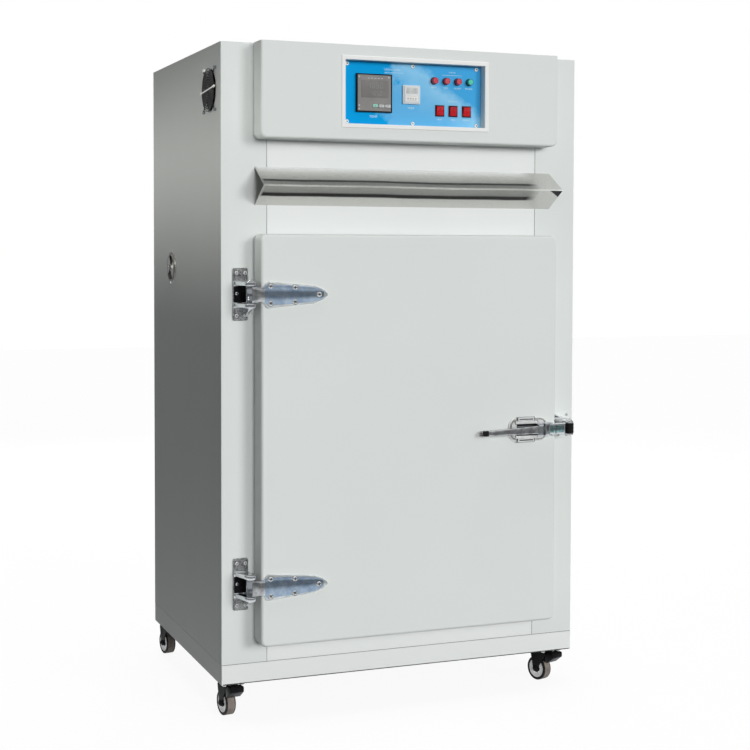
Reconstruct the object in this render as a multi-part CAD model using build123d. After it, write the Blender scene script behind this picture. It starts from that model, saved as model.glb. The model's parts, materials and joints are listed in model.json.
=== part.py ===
"""Drying oven: a free-standing hot-air cabinet on casters, with one hinged door.

Sizes are in millimetres. The model is built from the cabinet's front left bottom corner
(X to the right, Y to the back, Z up) and every node is moved to the oven's own frame, which
has its origin on the floor under the middle of the whole oven, when it is written.
"""
from build123d import *

import math
import os

# Cabinet
CABINET_WIDTH = 985
CABINET_DEPTH = 720
CABINET_HEIGHT = 1600
SHEET = 2
PLINTH_HEIGHT = 50
PLINTH_FLANGE = 30
STILE_WIDTH = 118
SEAM = 0.8
FOLD_RADIUS = 1.5
SEAT_GAP = 0.3

# Door
DOOR_LEFT = 84.5
DOOR_RIGHT_MARGIN = 83.5
DOOR_BOTTOM = 102
DOOR_TOP_MARGIN = 473
DOOR_FRONT = 62
DOOR_GAP = 4
DOOR_SHEET = 1.5
DOOR_CORNER = 16
DOOR_EDGE = 8
DOOR_LAP = 45
DOOR_FLANGE = 2
PLUG_DEPTH = 36
PLUG_CLEARANCE = 10
PLUG_SHEET = 1.2
GASKET_INSET = 14
GASKET_WIDTH = 16

# Chamber and insulation
CHAMBER_DEPTH = 560
CHAMBER_SHEET = 1.5
CEILING_DROP = 115
INSULATION_TOP = 90
DUCT_WIDTH = 38
DUCT_SHEET = 1.2
DUCT_SLOT_LENGTH = 60
DUCT_SLOT_HEIGHT = 12
DUCT_SLOT_COLUMNS = 4
DUCT_SLOT_ROWS = 8
DUCT_MARGIN = 18
INLET_RADIUS = 78

# Shelves
SHELF_COUNT = 4
SHELF_PITCH = 200
SHELF_FIRST = 150
SHELF_FRAME = 8
SHELF_WIRE = 4
SHELF_WIRES = 15
RUNNER_HEIGHT = 20
RUNNER_DEPTH = 14
RUNNER_SHEET = 1.5

# Air heaters
HEATER_COUNT = 4
HEATER_TUBE = 10
HEATER_SPAN = 46
HEATER_LENGTH = 120
HEATER_DROP = 55

# Hot air blower
WHEEL_RADIUS = 130
WHEEL_HEIGHT = 70
WHEEL_BLADES = 18
WHEEL_PLATE = 2
BLADE_LENGTH = 34
SHAFT_RADIUS = 7
SHAFT_CLEARANCE = 0.05
SHAFT_HOLE = 12
MOTOR_RADIUS = 70
MOTOR_HEIGHT = 180
MOTOR_FLANGE = 95
MOTOR_FLANGE_HEIGHT = 10
MOTOR_BEARING = 60
DECK_SHEET = 2

# Control housing and its panel
HOUSING_HEIGHT = 238
HOUSING_FRONT = 62
HOUSING_SHEET = 1.5
HOUSING_CORNER = 16
HOUSING_EDGE = 6
WINDOW_WIDTH = 384
WINDOW_HEIGHT = 159
WINDOW_INSET = 219.5
WINDOW_RISE = 42
WINDOW_DEPTH = 24
WINDOW_LIP = 12
TRIM_WIDTH = 10
TRIM_PROUD = 1.5
FRONT_PANEL_LAP = 20
PANEL_SHEET = 2
PANEL_SCREW_INSET = 7
PANEL_SCREW_HEAD = 3.5
SCREW_HEAD_HEIGHT = 2

# Controls on the panel
CONTROLLER_SIZE = 96
CONTROLLER_BODY = 90
CONTROLLER_PROUD = 9
CONTROLLER_DEPTH = 75
CONTROLLER_INSET = 36
CONTROLLER_RISE = 32
CONTROLLER_RIM = 3
KEY_WIDTH = 15
KEY_HEIGHT = 8
KEY_THICKNESS = 5
KEY_PROUD = 1.2
KEY_PITCH = 17
KEY_COUNT = 3
KEY_GAP = 0.4
KEY_TRAVEL = 1
KEY_BOTTOM = 12
TIMER_SIZE = 48
TIMER_BODY = 45
TIMER_PROUD = 7
TIMER_DEPTH = 60
TIMER_INSET = 163
TIMER_RISE = 56
LAMP_RADIUS = 10.5
LAMP_PROUD = 14
LAMP_THREAD = 8
LAMP_DEPTH = 34
LAMP_NUT = 12
LAMP_NUT_HEIGHT = 5
LAMP_RISE = 118
LAMP_INSETS = (251, 284, 317)
GREEN_LAMP_INSET = 349.5
ROCKER_INSETS = (267, 304.5, 342.5)
ROCKER_RISE = 42
ROCKER_FRAME_WIDTH = 25
ROCKER_FRAME_HEIGHT = 29
ROCKER_FRAME_PROUD = 3
ROCKER_DEPTH = 22
ROCKER_WIDTH = 19
ROCKER_HEIGHT = 23
ROCKER_THICKNESS = 9
ROCKER_PROUD = 3.5
ROCKER_GAP = 0.6
ROCKER_TILT = 8

# Steam guard over the door
GUARD_INSET = 2.5
GUARD_OVERHANG = 5
GUARD_RISE = 72
GUARD_HEIGHT = 95
GUARD_PROUD = 80
GUARD_SHEET = 1.5

# Door hinges
HINGE_RISE = 150.5
HINGE_DROP = 149.5
PIN_OFFSET = 24.5
PIN_DEPTH = 6
PIN_RADIUS = 6
PIN_CLEARANCE = 0.05
PIN_HEAD = 8
PIN_HEAD_HEIGHT = 3
LEAF_OFFSET = 31
LEAF_WIDTH = 39
LEAF_HEIGHT = 131
LEAF_THICKNESS = 5
EAR_THICKNESS = 11
EAR_GAP = 43
EAR_RADIUS = 13
KNUCKLE_HEIGHT = 42
KNUCKLE_RADIUS = 11
STRAP_OFFSET = 28
STRAP_LENGTH = 169
STRAP_WIDE = 66
STRAP_NARROW = 44
STRAP_NECK = 40
STRAP_SHOULDER = 9
STRAP_POINT = 42
STRAP_THICKNESS = 5
STRAP_RIB = 4
STRAP_RIB_INSET = 7
STRAP_SCREWS = ((47, 21), (47, -21), (110, 17.5), (110, -17.5), (173, 0))
STRAP_SCREW_HEAD = 4.5
LEAF_SCREWS = ((-22, 58), (0, 58), (-22, -58), (0, -58))

# Latch
LATCH_RISE = 514.5
LATCH_PLATE_INSET = 83.5
LATCH_PLATE_WIDTH = 117
LATCH_PLATE_HEIGHT = 66
LATCH_PLATE_THICKNESS = 4
LATCH_BLOCK_INSET = 119.5
LATCH_BLOCK_WIDTH = 62
LATCH_BLOCK_HEIGHT = 44
LATCH_BLOCK_PROUD = 12
LEVER_PIVOT_INSET = 55.5
LEVER_PIVOT_PROUD = 22
LEVER_LENGTH = 166
LEVER_TIP_HEIGHT = 10
LEVER_ROOT_HEIGHT = 21
LEVER_THICKNESS = 10
LEVER_PIN = 3
LEVER_EYE = 8
LUG_THICKNESS = 5
LUG_RADIUS = 9
BOLT_INSET = 33.5
BOLT_LENGTH = 55
BOLT_HEIGHT = 28
BOLT_PROUD = 5
BOLT_THICKNESS = 20
BOLT_TRAVEL = 12
BOLT_CHEEK = 3.5
BOLT_CHEEK_LENGTH = 24
KEEPER_OFFSET = 12.5
KEEPER_WIDTH = 64
KEEPER_HEIGHT = 70
KEEPER_THICKNESS = 4
KEEPER_ARM = 4
ROLLER_OFFSET = 34.5
ROLLER_PROUD = 14
ROLLER_RADIUS = 11
ROLLER_HEIGHT = 27
ROLLER_PIN = 3
ROLLER_GAP = 0.4

# Side cooling fan
FAN_Y = 97
FAN_DROP = 111
FAN_SIZE = 120
FAN_DEPTH = 38
FAN_BORE = 56
FAN_HOLE = 52
FAN_SCREW_PITCH = 105
FAN_HUB = 22
FAN_BLADES = 7
FAN_TIP_GAP = 2
FAN_AXLE = 3
FAN_STRUT = 5
GUARD_WIRE = 3
GUARD_RINGS = (17, 29, 41, 53)
GUARD_STANDOFF = 5
GUARD_BAR_REACH = 69
GUARD_BAR_WIDTH = 5
GUARD_BAR_THICKNESS = 2

# Round air vent on the side
VENT_INSET = 220
VENT_DROP = 89
VENT_RADIUS = 45
VENT_TUBE = 38
VENT_WALL = 1.5
VENT_FLANGE = 3
VENT_PLATE = 2
VENT_SPINDLE = 4
VENT_KNOB = 9
VENT_KNOB_LENGTH = 8
VENT_SECTOR = 90

# Wiring
GLAND_INSET = 105
GLAND_DROP = 160
GLAND_BORE = 8
GLAND_RADIUS = 14
GLAND_REACH = 24
GLAND_NUT = 18
GLAND_NUT_HEIGHT = 6
GEAR_PLATE_WIDTH = 240
GEAR_PLATE_HEIGHT = 200
GEAR_INSET = 365
GEAR_BACK = 300
GEAR_PLATE_THICKNESS = 3
CONTACTOR_WIDTH = 45
CONTACTOR_HEIGHT = 75
CONTACTOR_DEPTH = 80
CONTACTORS = 3

# Casters
CASTER_HEIGHT = 95
CASTER_FRONT_Y = 48
CASTER_BACK_INSET = 42
CASTER_LEFT_X = 34
CASTER_RIGHT_INSET = 53
CASTER_PLATE_WIDTH = 62
CASTER_PLATE_LENGTH = 84
CASTER_PLATE_THICKNESS = 2.5
CASTER_RACE_RADIUS = 22
CASTER_RACE_HEIGHT = 7
CASTER_BOLT_INSET = 8
CASTER_BOLT_HEAD = 5
CASTER_BOLT_HEIGHT = 4
WHEEL_DIAMETER = 65
WHEEL_WIDTH = 24
WHEEL_OFFSET = 20
CASTER_AXLE = 4
FORK_SHEET = 3
FORK_GAP = 1.5
FORK_WIDTH = 34
KINGPIN_RADIUS = 5
CASTER_TURN = {"front_left": 188, "front_right": 199, "back_left": 188, "back_right": 204}
FORK_REACH = 33
FORK_HEEL = 14
FORK_BOSS = 9.5
PEDAL_WIDTH = 38
PEDAL_THICKNESS = 4
PEDAL_PIN = 1.8
PEDAL_EYE = 3.5
PEDAL_PIN_Y = 11.5
PEDAL_START = 18
PEDAL_REACH = 48
PEDAL_RISE = 8.8
PEDAL_NOSE = 14
PEDAL_DROP = 23
FORK_SLOPE = 5

# Places worked out from the sizes above
DOOR_RIGHT = CABINET_WIDTH - DOOR_RIGHT_MARGIN
DOOR_TOP = CABINET_HEIGHT - DOOR_TOP_MARGIN
MOUTH_LEFT = DOOR_LEFT + DOOR_LAP
MOUTH_RIGHT = DOOR_RIGHT - DOOR_LAP
MOUTH_BOTTOM = DOOR_BOTTOM + DOOR_LAP
MOUTH_TOP = DOOR_TOP - DOOR_LAP
LINER_TOP = MOUTH_TOP + CEILING_DROP
LINER_BACK = SHEET + CHAMBER_DEPTH
DECK_Z = LINER_TOP + CHAMBER_SHEET + SEAT_GAP + INSULATION_TOP + SEAT_GAP
HOUSING_BOTTOM = CABINET_HEIGHT - HOUSING_HEIGHT
WINDOW_LEFT = DOOR_LEFT + WINDOW_INSET
WINDOW_RIGHT = WINDOW_LEFT + WINDOW_WIDTH
WINDOW_BOTTOM = HOUSING_BOTTOM + WINDOW_RISE
WINDOW_TOP = WINDOW_BOTTOM + WINDOW_HEIGHT
PANEL_Y = -(HOUSING_FRONT - WINDOW_DEPTH)
CONTROLLER_LEFT = WINDOW_LEFT + CONTROLLER_INSET
CONTROLLER_BOTTOM = WINDOW_BOTTOM + CONTROLLER_RISE
TIMER_LEFT = WINDOW_LEFT + TIMER_INSET
TIMER_BOTTOM = WINDOW_BOTTOM + TIMER_RISE
LAMP_XS = [WINDOW_LEFT + inset for inset in LAMP_INSETS]
GREEN_LAMP_X = WINDOW_LEFT + GREEN_LAMP_INSET
LAMP_Z = WINDOW_BOTTOM + LAMP_RISE
ROCKER_XS = [WINDOW_LEFT + inset for inset in ROCKER_INSETS]
ROCKER_Z = WINDOW_BOTTOM + ROCKER_RISE
BLOWER_X = CABINET_WIDTH / 2
BLOWER_Y = CHAMBER_DEPTH / 2
DUCT_LEFT = MOUTH_LEFT + DUCT_WIDTH
DUCT_RIGHT = MOUTH_RIGHT - DUCT_WIDTH
GUARD_LEFT = DOOR_LEFT + GUARD_INSET
GUARD_LENGTH = DOOR_RIGHT - DOOR_LEFT + GUARD_OVERHANG
GUARD_BOTTOM = DOOR_TOP + GUARD_RISE
HINGE_LEVELS = (DOOR_BOTTOM + HINGE_RISE, DOOR_TOP - HINGE_DROP)
PIN_X = DOOR_LEFT - PIN_OFFSET
PIN_Y = -(DOOR_FRONT - PIN_DEPTH)
LEAF_LEFT = PIN_X - LEAF_OFFSET
STRAP_START = PIN_X + STRAP_OFFSET
LATCH_Z = DOOR_BOTTOM + LATCH_RISE
LATCH_PLATE_X = DOOR_RIGHT - LATCH_PLATE_INSET
LATCH_BLOCK_LEFT = DOOR_RIGHT - LATCH_BLOCK_INSET
LATCH_BLOCK_FRONT = DOOR_FRONT + LATCH_BLOCK_PROUD
LEVER_PIVOT_X = DOOR_RIGHT - LEVER_PIVOT_INSET
LEVER_PIVOT_Y = -(DOOR_FRONT + LEVER_PIVOT_PROUD)
LEVER_TIP = LEVER_PIVOT_X - LEVER_LENGTH
LEVER_FRONT = LEVER_PIVOT_Y - LEVER_EYE
BOLT_LEFT = DOOR_RIGHT - BOLT_INSET
BOLT_BACK = DOOR_FRONT + BOLT_PROUD
BOLT_FRONT = BOLT_BACK + BOLT_THICKNESS
KEEPER_LEFT = DOOR_RIGHT + KEEPER_OFFSET
ROLLER_X = DOOR_RIGHT + ROLLER_OFFSET
ROLLER_Y = -(DOOR_FRONT + ROLLER_PROUD)
FAN_Z = CABINET_HEIGHT - FAN_DROP
VENT_Y = CABINET_DEPTH - VENT_INSET
VENT_Z = DOOR_TOP - VENT_DROP
GLAND_X = CABINET_WIDTH - GLAND_INSET
GLAND_Z = CABINET_HEIGHT - GLAND_DROP
GEAR_X = CABINET_WIDTH - GEAR_INSET
GEAR_Y = CABINET_DEPTH - GEAR_BACK
LEFT_REACH = VENT_FLANGE + VENT_PLATE + VENT_KNOB_LENGTH
ORIGIN = Location((
    -(CABINET_WIDTH - LEFT_REACH) / 2,
    -(CABINET_DEPTH + GLAND_REACH + LEVER_FRONT) / 2,
    CASTER_HEIGHT,
))
CASTER_RIGHT_X = CABINET_WIDTH - CASTER_RIGHT_INSET
CASTER_BACK_Y = CABINET_DEPTH - CASTER_BACK_INSET
CASTERS = {
    "front_left": (CASTER_LEFT_X, CASTER_FRONT_Y),
    "front_right": (CASTER_RIGHT_X, CASTER_FRONT_Y),
    "back_left": (CASTER_LEFT_X, CASTER_BACK_Y),
    "back_right": (CASTER_RIGHT_X, CASTER_BACK_Y),
}


def block(x0, x1, y0, y1, z0, z1):
    """A box given by its two limits along each axis."""
    middle = ((x0 + x1) / 2, (y0 + y1) / 2, (z0 + z1) / 2)
    return Pos(*middle) * Box(x1 - x0, y1 - y0, z1 - z0)


def rod(start, direction, radius, length):
    """A round bar from a start point along a direction."""
    plane = Plane(origin=start, z_dir=direction)
    return Solid.make_cylinder(radius, length, plane)


def tube(start, direction, outer, inner, length):
    """A round tube from a start point along a direction."""
    return rod(start, direction, outer, length) - rod(start, direction, inner, length)


def prism_z(points, z0, z1):
    """A straight prism over a polygon in X and Y."""
    outline = make_face(Polyline(*[(x, y, z0) for x, y in points], close=True))
    return extrude(outline, amount=z1 - z0, dir=(0, 0, 1))


def prism_y(points, y0, y1):
    """A straight prism over a polygon in X and Z."""
    outline = make_face(Polyline(*[(x, y0, z) for x, z in points], close=True))
    return extrude(outline, amount=y1 - y0, dir=(0, 1, 0))


def prism_x(points, x0, x1):
    """A straight prism over a polygon in Y and Z."""
    outline = make_face(Polyline(*[(x0, y, z) for y, z in points], close=True))
    return extrude(outline, amount=x1 - x0, dir=(1, 0, 0))


def rounded_front(x0, x1, y0, y1, z0, z1, corner, edge, low_corners_only=False):
    """A box with round corners seen from the front and a soft edge round its front face."""
    body = block(x0, x1, y0, y1, z0, z1)
    upright = body.edges().filter_by(Axis.Y)
    if low_corners_only:
        upright = upright.sort_by(Axis.Z)[:2]
    body = fillet(upright, corner)
    front = body.faces().sort_by(Axis.Y)[0]
    rim = front.edges()
    if low_corners_only:
        rim = rim.sort_by(Axis.Z)[:-1]
    return fillet(rim, edge)


def solids_of(shape):
    """The solids of a shape, whatever kind of shape it is."""
    return list(shape.solids())


def save(name, *shapes):
    """Move the shapes to the oven's own frame and write them as one node."""
    parts = [solid for shape in shapes for solid in solids_of(shape)]
    node = parts[0] if len(parts) == 1 else Compound(children=parts)
    export_step(node.moved(ORIGIN), f"parts/{name}.step")


def side_panel(x0, holes=()):
    """One side sheet of the cabinet with the round holes asked for."""
    panel = block(x0, x0 + SHEET, SHEET + SEAM, CABINET_DEPTH, PLINTH_HEIGHT + SEAM, CABINET_HEIGHT)
    for y, z, radius in holes:
        panel -= rod((x0 - 1, y, z), (1, 0, 0), radius, SHEET + 2)
    return panel


def cabinet_shell():
    """The outer sheets: sides, top, back, front stiles, front panel and plinth."""
    fan_holes = [(FAN_Y, FAN_Z, FAN_HOLE)]
    vent_hole = (VENT_Y, VENT_Z, VENT_TUBE + SEAT_GAP)
    save("side_panel_left", side_panel(0, fan_holes + [vent_hole]))
    save("side_panel_right", side_panel(CABINET_WIDTH - SHEET))
    inside_left = SHEET
    inside_right = CABINET_WIDTH - SHEET
    top = block(
        inside_left, inside_right, SHEET + SEAM, CABINET_DEPTH - SHEET,
        CABINET_HEIGHT - SHEET, CABINET_HEIGHT,
    )
    save("top_panel", top)
    back = block(
        inside_left, inside_right, CABINET_DEPTH - SHEET, CABINET_DEPTH,
        PLINTH_HEIGHT + SEAM, CABINET_HEIGHT,
    )
    back -= rod((GLAND_X, CABINET_DEPTH - SHEET - 1, GLAND_Z), (0, 1, 0), GLAND_RADIUS, SHEET + 2)
    save("back_panel", back)

    stiles = []
    for x0, outer_edge in ((0, 0), (CABINET_WIDTH - STILE_WIDTH, -1)):
        stile = block(x0, x0 + STILE_WIDTH, 0, SHEET, PLINTH_HEIGHT + SEAM, CABINET_HEIGHT)
        front_edges = stile.edges().filter_by(Axis.Z).group_by(Axis.Y)[0]
        stiles.append(fillet(front_edges.sort_by(Axis.X)[outer_edge], FOLD_RADIUS))
    save("front_stiles", *stiles)

    panel = block(
        STILE_WIDTH + SEAM, CABINET_WIDTH - STILE_WIDTH - SEAM, 0, SHEET,
        PLINTH_HEIGHT + SEAM, HOUSING_BOTTOM + FRONT_PANEL_LAP,
    )
    panel -= block(MOUTH_LEFT, MOUTH_RIGHT, -1, SHEET + 1, MOUTH_BOTTOM, MOUTH_TOP)
    save("front_panel", panel)

    plinth = block(0, CABINET_WIDTH, 0, CABINET_DEPTH, 0, PLINTH_HEIGHT)
    plinth = fillet(plinth.edges().filter_by(Axis.Z), FOLD_RADIUS)
    plinth -= block(
        SHEET, CABINET_WIDTH - SHEET, SHEET, CABINET_DEPTH - SHEET, SHEET, PLINTH_HEIGHT - SHEET,
    )
    plinth -= block(
        PLINTH_FLANGE, CABINET_WIDTH - PLINTH_FLANGE, PLINTH_FLANGE, CABINET_DEPTH - PLINTH_FLANGE,
        PLINTH_HEIGHT - SHEET - 1, PLINTH_HEIGHT + 1,
    )
    save("plinth", plinth)


def shaft_hole(z0, z1):
    """The square hole that the blower's shaft passes through between two heights."""
    return block(
        BLOWER_X - SHAFT_HOLE, BLOWER_X + SHAFT_HOLE, BLOWER_Y - SHAFT_HOLE, BLOWER_Y + SHAFT_HOLE,
        z0 - 1, z1 + 1,
    )


def chamber():
    """The inner box as five plates that close on each other."""
    outer_left = MOUTH_LEFT - CHAMBER_SHEET
    outer_right = MOUTH_RIGHT + CHAMBER_SHEET
    front = SHEET
    left = block(outer_left, MOUTH_LEFT, front, LINER_BACK, MOUTH_BOTTOM, LINER_TOP)
    left -= rod((outer_left - 1, VENT_Y, VENT_Z), (1, 0, 0), VENT_TUBE - VENT_WALL, CHAMBER_SHEET + 2)
    right = block(MOUTH_RIGHT, outer_right, front, LINER_BACK, MOUTH_BOTTOM, LINER_TOP)
    bottom = block(
        outer_left, outer_right, front, LINER_BACK, MOUTH_BOTTOM - CHAMBER_SHEET, MOUTH_BOTTOM,
    )
    top = block(outer_left, outer_right, front, LINER_BACK, LINER_TOP, LINER_TOP + CHAMBER_SHEET)
    top -= shaft_hole(LINER_TOP, LINER_TOP + CHAMBER_SHEET)
    back = block(
        outer_left, outer_right, LINER_BACK, LINER_BACK + CHAMBER_SHEET,
        MOUTH_BOTTOM - CHAMBER_SHEET, LINER_TOP + CHAMBER_SHEET,
    )
    save("chamber_liner", left, right, bottom, top, back)


def insulation():
    """Slabs of mineral wool between the chamber and the outer sheets."""
    left_face = SHEET + SEAT_GAP
    right_face = CABINET_WIDTH - SHEET - SEAT_GAP
    front_face = SHEET + SEAT_GAP
    back_face = CABINET_DEPTH - SHEET - SEAT_GAP
    floor_z = PLINTH_HEIGHT + SEAT_GAP
    chamber_left = MOUTH_LEFT - CHAMBER_SHEET - SEAT_GAP
    chamber_right = MOUTH_RIGHT + CHAMBER_SHEET + SEAT_GAP
    chamber_back = LINER_BACK + CHAMBER_SHEET + SEAT_GAP
    chamber_floor = MOUTH_BOTTOM - CHAMBER_SHEET - SEAT_GAP
    chamber_top = LINER_TOP + CHAMBER_SHEET + SEAT_GAP
    slab_top = chamber_top + INSULATION_TOP
    left = block(left_face, chamber_left, front_face, back_face, floor_z, slab_top)
    left -= rod((left_face - 1, VENT_Y, VENT_Z), (1, 0, 0), VENT_TUBE + SEAT_GAP, chamber_left)
    right = block(chamber_right, right_face, front_face, back_face, floor_z, slab_top)
    bottom = block(chamber_left, chamber_right, front_face, back_face, floor_z, chamber_floor)
    back = block(chamber_left, chamber_right, chamber_back, back_face, chamber_floor, slab_top)
    top = block(chamber_left, chamber_right, front_face, chamber_back, chamber_top, slab_top)
    top -= shaft_hole(chamber_top, slab_top)
    save("insulation", left, right, bottom, back, top)


def air_ducts():
    """A slotted air wall at each side of the chamber and the baffle under the blower."""
    height = MOUTH_TOP - MOUTH_BOTTOM
    walls = []
    for wall_x, liner_x in ((DUCT_LEFT, MOUTH_LEFT), (DUCT_RIGHT, MOUTH_RIGHT)):
        inward = 1 if wall_x > liner_x else -1
        inner_x = wall_x - inward * DUCT_SHEET
        front_y = PLUG_DEPTH + PLUG_CLEARANCE
        wall = block(
            min(wall_x, inner_x), max(wall_x, inner_x), front_y, LINER_BACK, MOUTH_BOTTOM, MOUTH_TOP,
        )
        column_pitch = (LINER_BACK - front_y) / DUCT_SLOT_COLUMNS
        row_pitch = height / DUCT_SLOT_ROWS
        for column in range(DUCT_SLOT_COLUMNS):
            for row in range(DUCT_SLOT_ROWS):
                slot_y = front_y + column_pitch * (column + 0.5)
                slot_z = MOUTH_BOTTOM + row_pitch * (row + 0.5)
                wall -= block(
                    min(wall_x, inner_x) - 1, max(wall_x, inner_x) + 1,
                    slot_y - DUCT_SLOT_LENGTH / 2, slot_y + DUCT_SLOT_LENGTH / 2,
                    slot_z - DUCT_SLOT_HEIGHT / 2, slot_z + DUCT_SLOT_HEIGHT / 2,
                )
        cover = block(
            min(inner_x, liner_x), max(inner_x, liner_x), front_y, front_y + DUCT_SHEET,
            MOUTH_BOTTOM, MOUTH_TOP,
        )
        walls += [wall, cover]
    baffle = block(
        MOUTH_LEFT, MOUTH_RIGHT, PLUG_DEPTH + PLUG_CLEARANCE, LINER_BACK,
        MOUTH_TOP, MOUTH_TOP + DUCT_SHEET,
    )
    for x0, x1 in ((MOUTH_LEFT, DUCT_LEFT), (DUCT_RIGHT, MOUTH_RIGHT)):
        baffle -= block(
            x0 + DUCT_SHEET * 2, x1 - DUCT_SHEET * 2,
            PLUG_DEPTH + PLUG_CLEARANCE + DUCT_MARGIN, LINER_BACK - DUCT_MARGIN,
            MOUTH_TOP - 1, MOUTH_TOP + DUCT_SHEET + 1,
        )
    baffle -= rod((BLOWER_X, BLOWER_Y, MOUTH_TOP - 1), (0, 0, 1), INLET_RADIUS, DUCT_SHEET + 2)
    save("air_ducts", *walls, baffle)


def shelf_levels():
    """The height of the underside of each wire shelf."""
    return [MOUTH_BOTTOM + SHELF_FIRST + SHELF_PITCH * index for index in range(SHELF_COUNT)]


def shelves():
    """Angle runners on the air walls and the wire shelves that rest on them."""
    front_y = PLUG_DEPTH + PLUG_CLEARANCE + DUCT_SHEET
    back_y = LINER_BACK - DUCT_MARGIN
    runners = []
    grids = []
    for level in shelf_levels():
        for wall_x, inward in ((DUCT_LEFT, 1), (DUCT_RIGHT, -1)):
            tip = wall_x + inward * RUNNER_DEPTH
            skin = wall_x + inward * RUNNER_SHEET
            ledge = block(min(wall_x, tip), max(wall_x, tip), front_y, back_y, level - RUNNER_SHEET, level)
            web = block(min(wall_x, skin), max(wall_x, skin), front_y, back_y, level - RUNNER_HEIGHT, level)
            runners.append(ledge + web)
        grids.append(wire_shelf(level, front_y, back_y))
    save("shelf_runners", *runners)
    save("wire_shelves", *grids)


def wire_shelf(level, front_y, back_y):
    """One shelf: a square frame with wires across it from front to back."""
    left = DUCT_LEFT + RUNNER_SHEET + SEAT_GAP
    right = DUCT_RIGHT - RUNNER_SHEET - SEAT_GAP
    top = level + SHELF_FRAME
    frame = block(left, right, front_y, back_y, level, top)
    frame -= block(
        left + SHELF_FRAME, right - SHELF_FRAME, front_y + SHELF_FRAME, back_y - SHELF_FRAME,
        level - 1, top + 1,
    )
    pitch = (right - left - SHELF_FRAME) / (SHELF_WIRES + 1)
    wires = []
    for index in range(SHELF_WIRES):
        wire_x = left + SHELF_FRAME / 2 + pitch * (index + 1)
        start = (wire_x, front_y + SHELF_FRAME / 2, level + SHELF_FRAME / 2)
        wires.append(rod(start, (0, 1, 0), SHELF_WIRE / 2, back_y - front_y - SHELF_FRAME))
    return frame.fuse(*wires)


def heaters():
    """Bent heater tubes that stand out of the chamber's back plate above the baffle."""
    span = MOUTH_RIGHT - MOUTH_LEFT
    pitch = span / HEATER_COUNT
    tubes = []
    for index in range(HEATER_COUNT):
        middle = MOUTH_LEFT + pitch * (index + 0.5)
        left_x = middle - HEATER_SPAN / 2
        right_x = middle + HEATER_SPAN / 2
        bend_y = LINER_BACK - HEATER_LENGTH
        z = MOUTH_TOP + HEATER_DROP
        path = Wire([
            Edge.make_line((left_x, LINER_BACK, z), (left_x, bend_y, z)),
            Edge.make_three_point_arc(
                (left_x, bend_y, z), (middle, bend_y - HEATER_SPAN / 2, z), (right_x, bend_y, z)
            ),
            Edge.make_line((right_x, bend_y, z), (right_x, LINER_BACK, z)),
        ])
        section = Plane(origin=(left_x, LINER_BACK, z), z_dir=(0, -1, 0)) * Circle(HEATER_TUBE / 2)
        tubes.append(sweep(section, path=path))
    save("heater_tubes", *tubes)


def blower():
    """The motor on its deck and the bladed wheel on its shaft under the chamber's roof."""
    deck = block(
        SHEET, CABINET_WIDTH - SHEET, SHEET + SEAT_GAP, CABINET_DEPTH - SHEET,
        DECK_Z, DECK_Z + DECK_SHEET,
    )
    deck -= shaft_hole(DECK_Z, DECK_Z + DECK_SHEET)
    save("motor_deck", deck)

    motor_base = DECK_Z + DECK_SHEET
    centre = (BLOWER_X, BLOWER_Y, motor_base)
    motor = rod(centre, (0, 0, 1), MOTOR_FLANGE, MOTOR_FLANGE_HEIGHT)
    motor += rod(centre, (0, 0, 1), MOTOR_RADIUS, MOTOR_HEIGHT)
    motor += rod(centre, (0, 0, 1), MOTOR_RADIUS / 2, MOTOR_HEIGHT + MOTOR_FLANGE_HEIGHT)
    bearing = SHAFT_RADIUS + SHAFT_CLEARANCE
    motor -= rod((BLOWER_X, BLOWER_Y, motor_base - 1), (0, 0, 1), bearing, MOTOR_BEARING + 1)
    save("blower_motor", motor)

    wheel_z = MOUTH_TOP + DUCT_SHEET + HEATER_TUBE
    top_plate_z = wheel_z + WHEEL_HEIGHT
    wheel = rod((BLOWER_X, BLOWER_Y, top_plate_z), (0, 0, 1), WHEEL_RADIUS, WHEEL_PLATE)
    wheel += tube(
        (BLOWER_X, BLOWER_Y, wheel_z), (0, 0, 1), WHEEL_RADIUS, WHEEL_RADIUS - BLADE_LENGTH, WHEEL_PLATE,
    )
    blade = block(
        WHEEL_RADIUS - BLADE_LENGTH + WHEEL_PLATE, WHEEL_RADIUS - WHEEL_PLATE,
        -WHEEL_PLATE / 2, WHEEL_PLATE / 2,
        wheel_z + WHEEL_PLATE / 2, top_plate_z + WHEEL_PLATE / 2,
    )
    blades = [
        Pos(BLOWER_X, BLOWER_Y, 0) * Rot(0, 0, 360 / WHEEL_BLADES * index) * blade
        for index in range(WHEEL_BLADES)
    ]
    shaft_z = top_plate_z + WHEEL_PLATE
    shaft_length = motor_base + MOTOR_BEARING - SEAT_GAP - shaft_z
    shaft = rod((BLOWER_X, BLOWER_Y, shaft_z), (0, 0, 1), SHAFT_RADIUS, shaft_length)
    save("blower_wheel", wheel.fuse(*blades), shaft)


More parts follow.
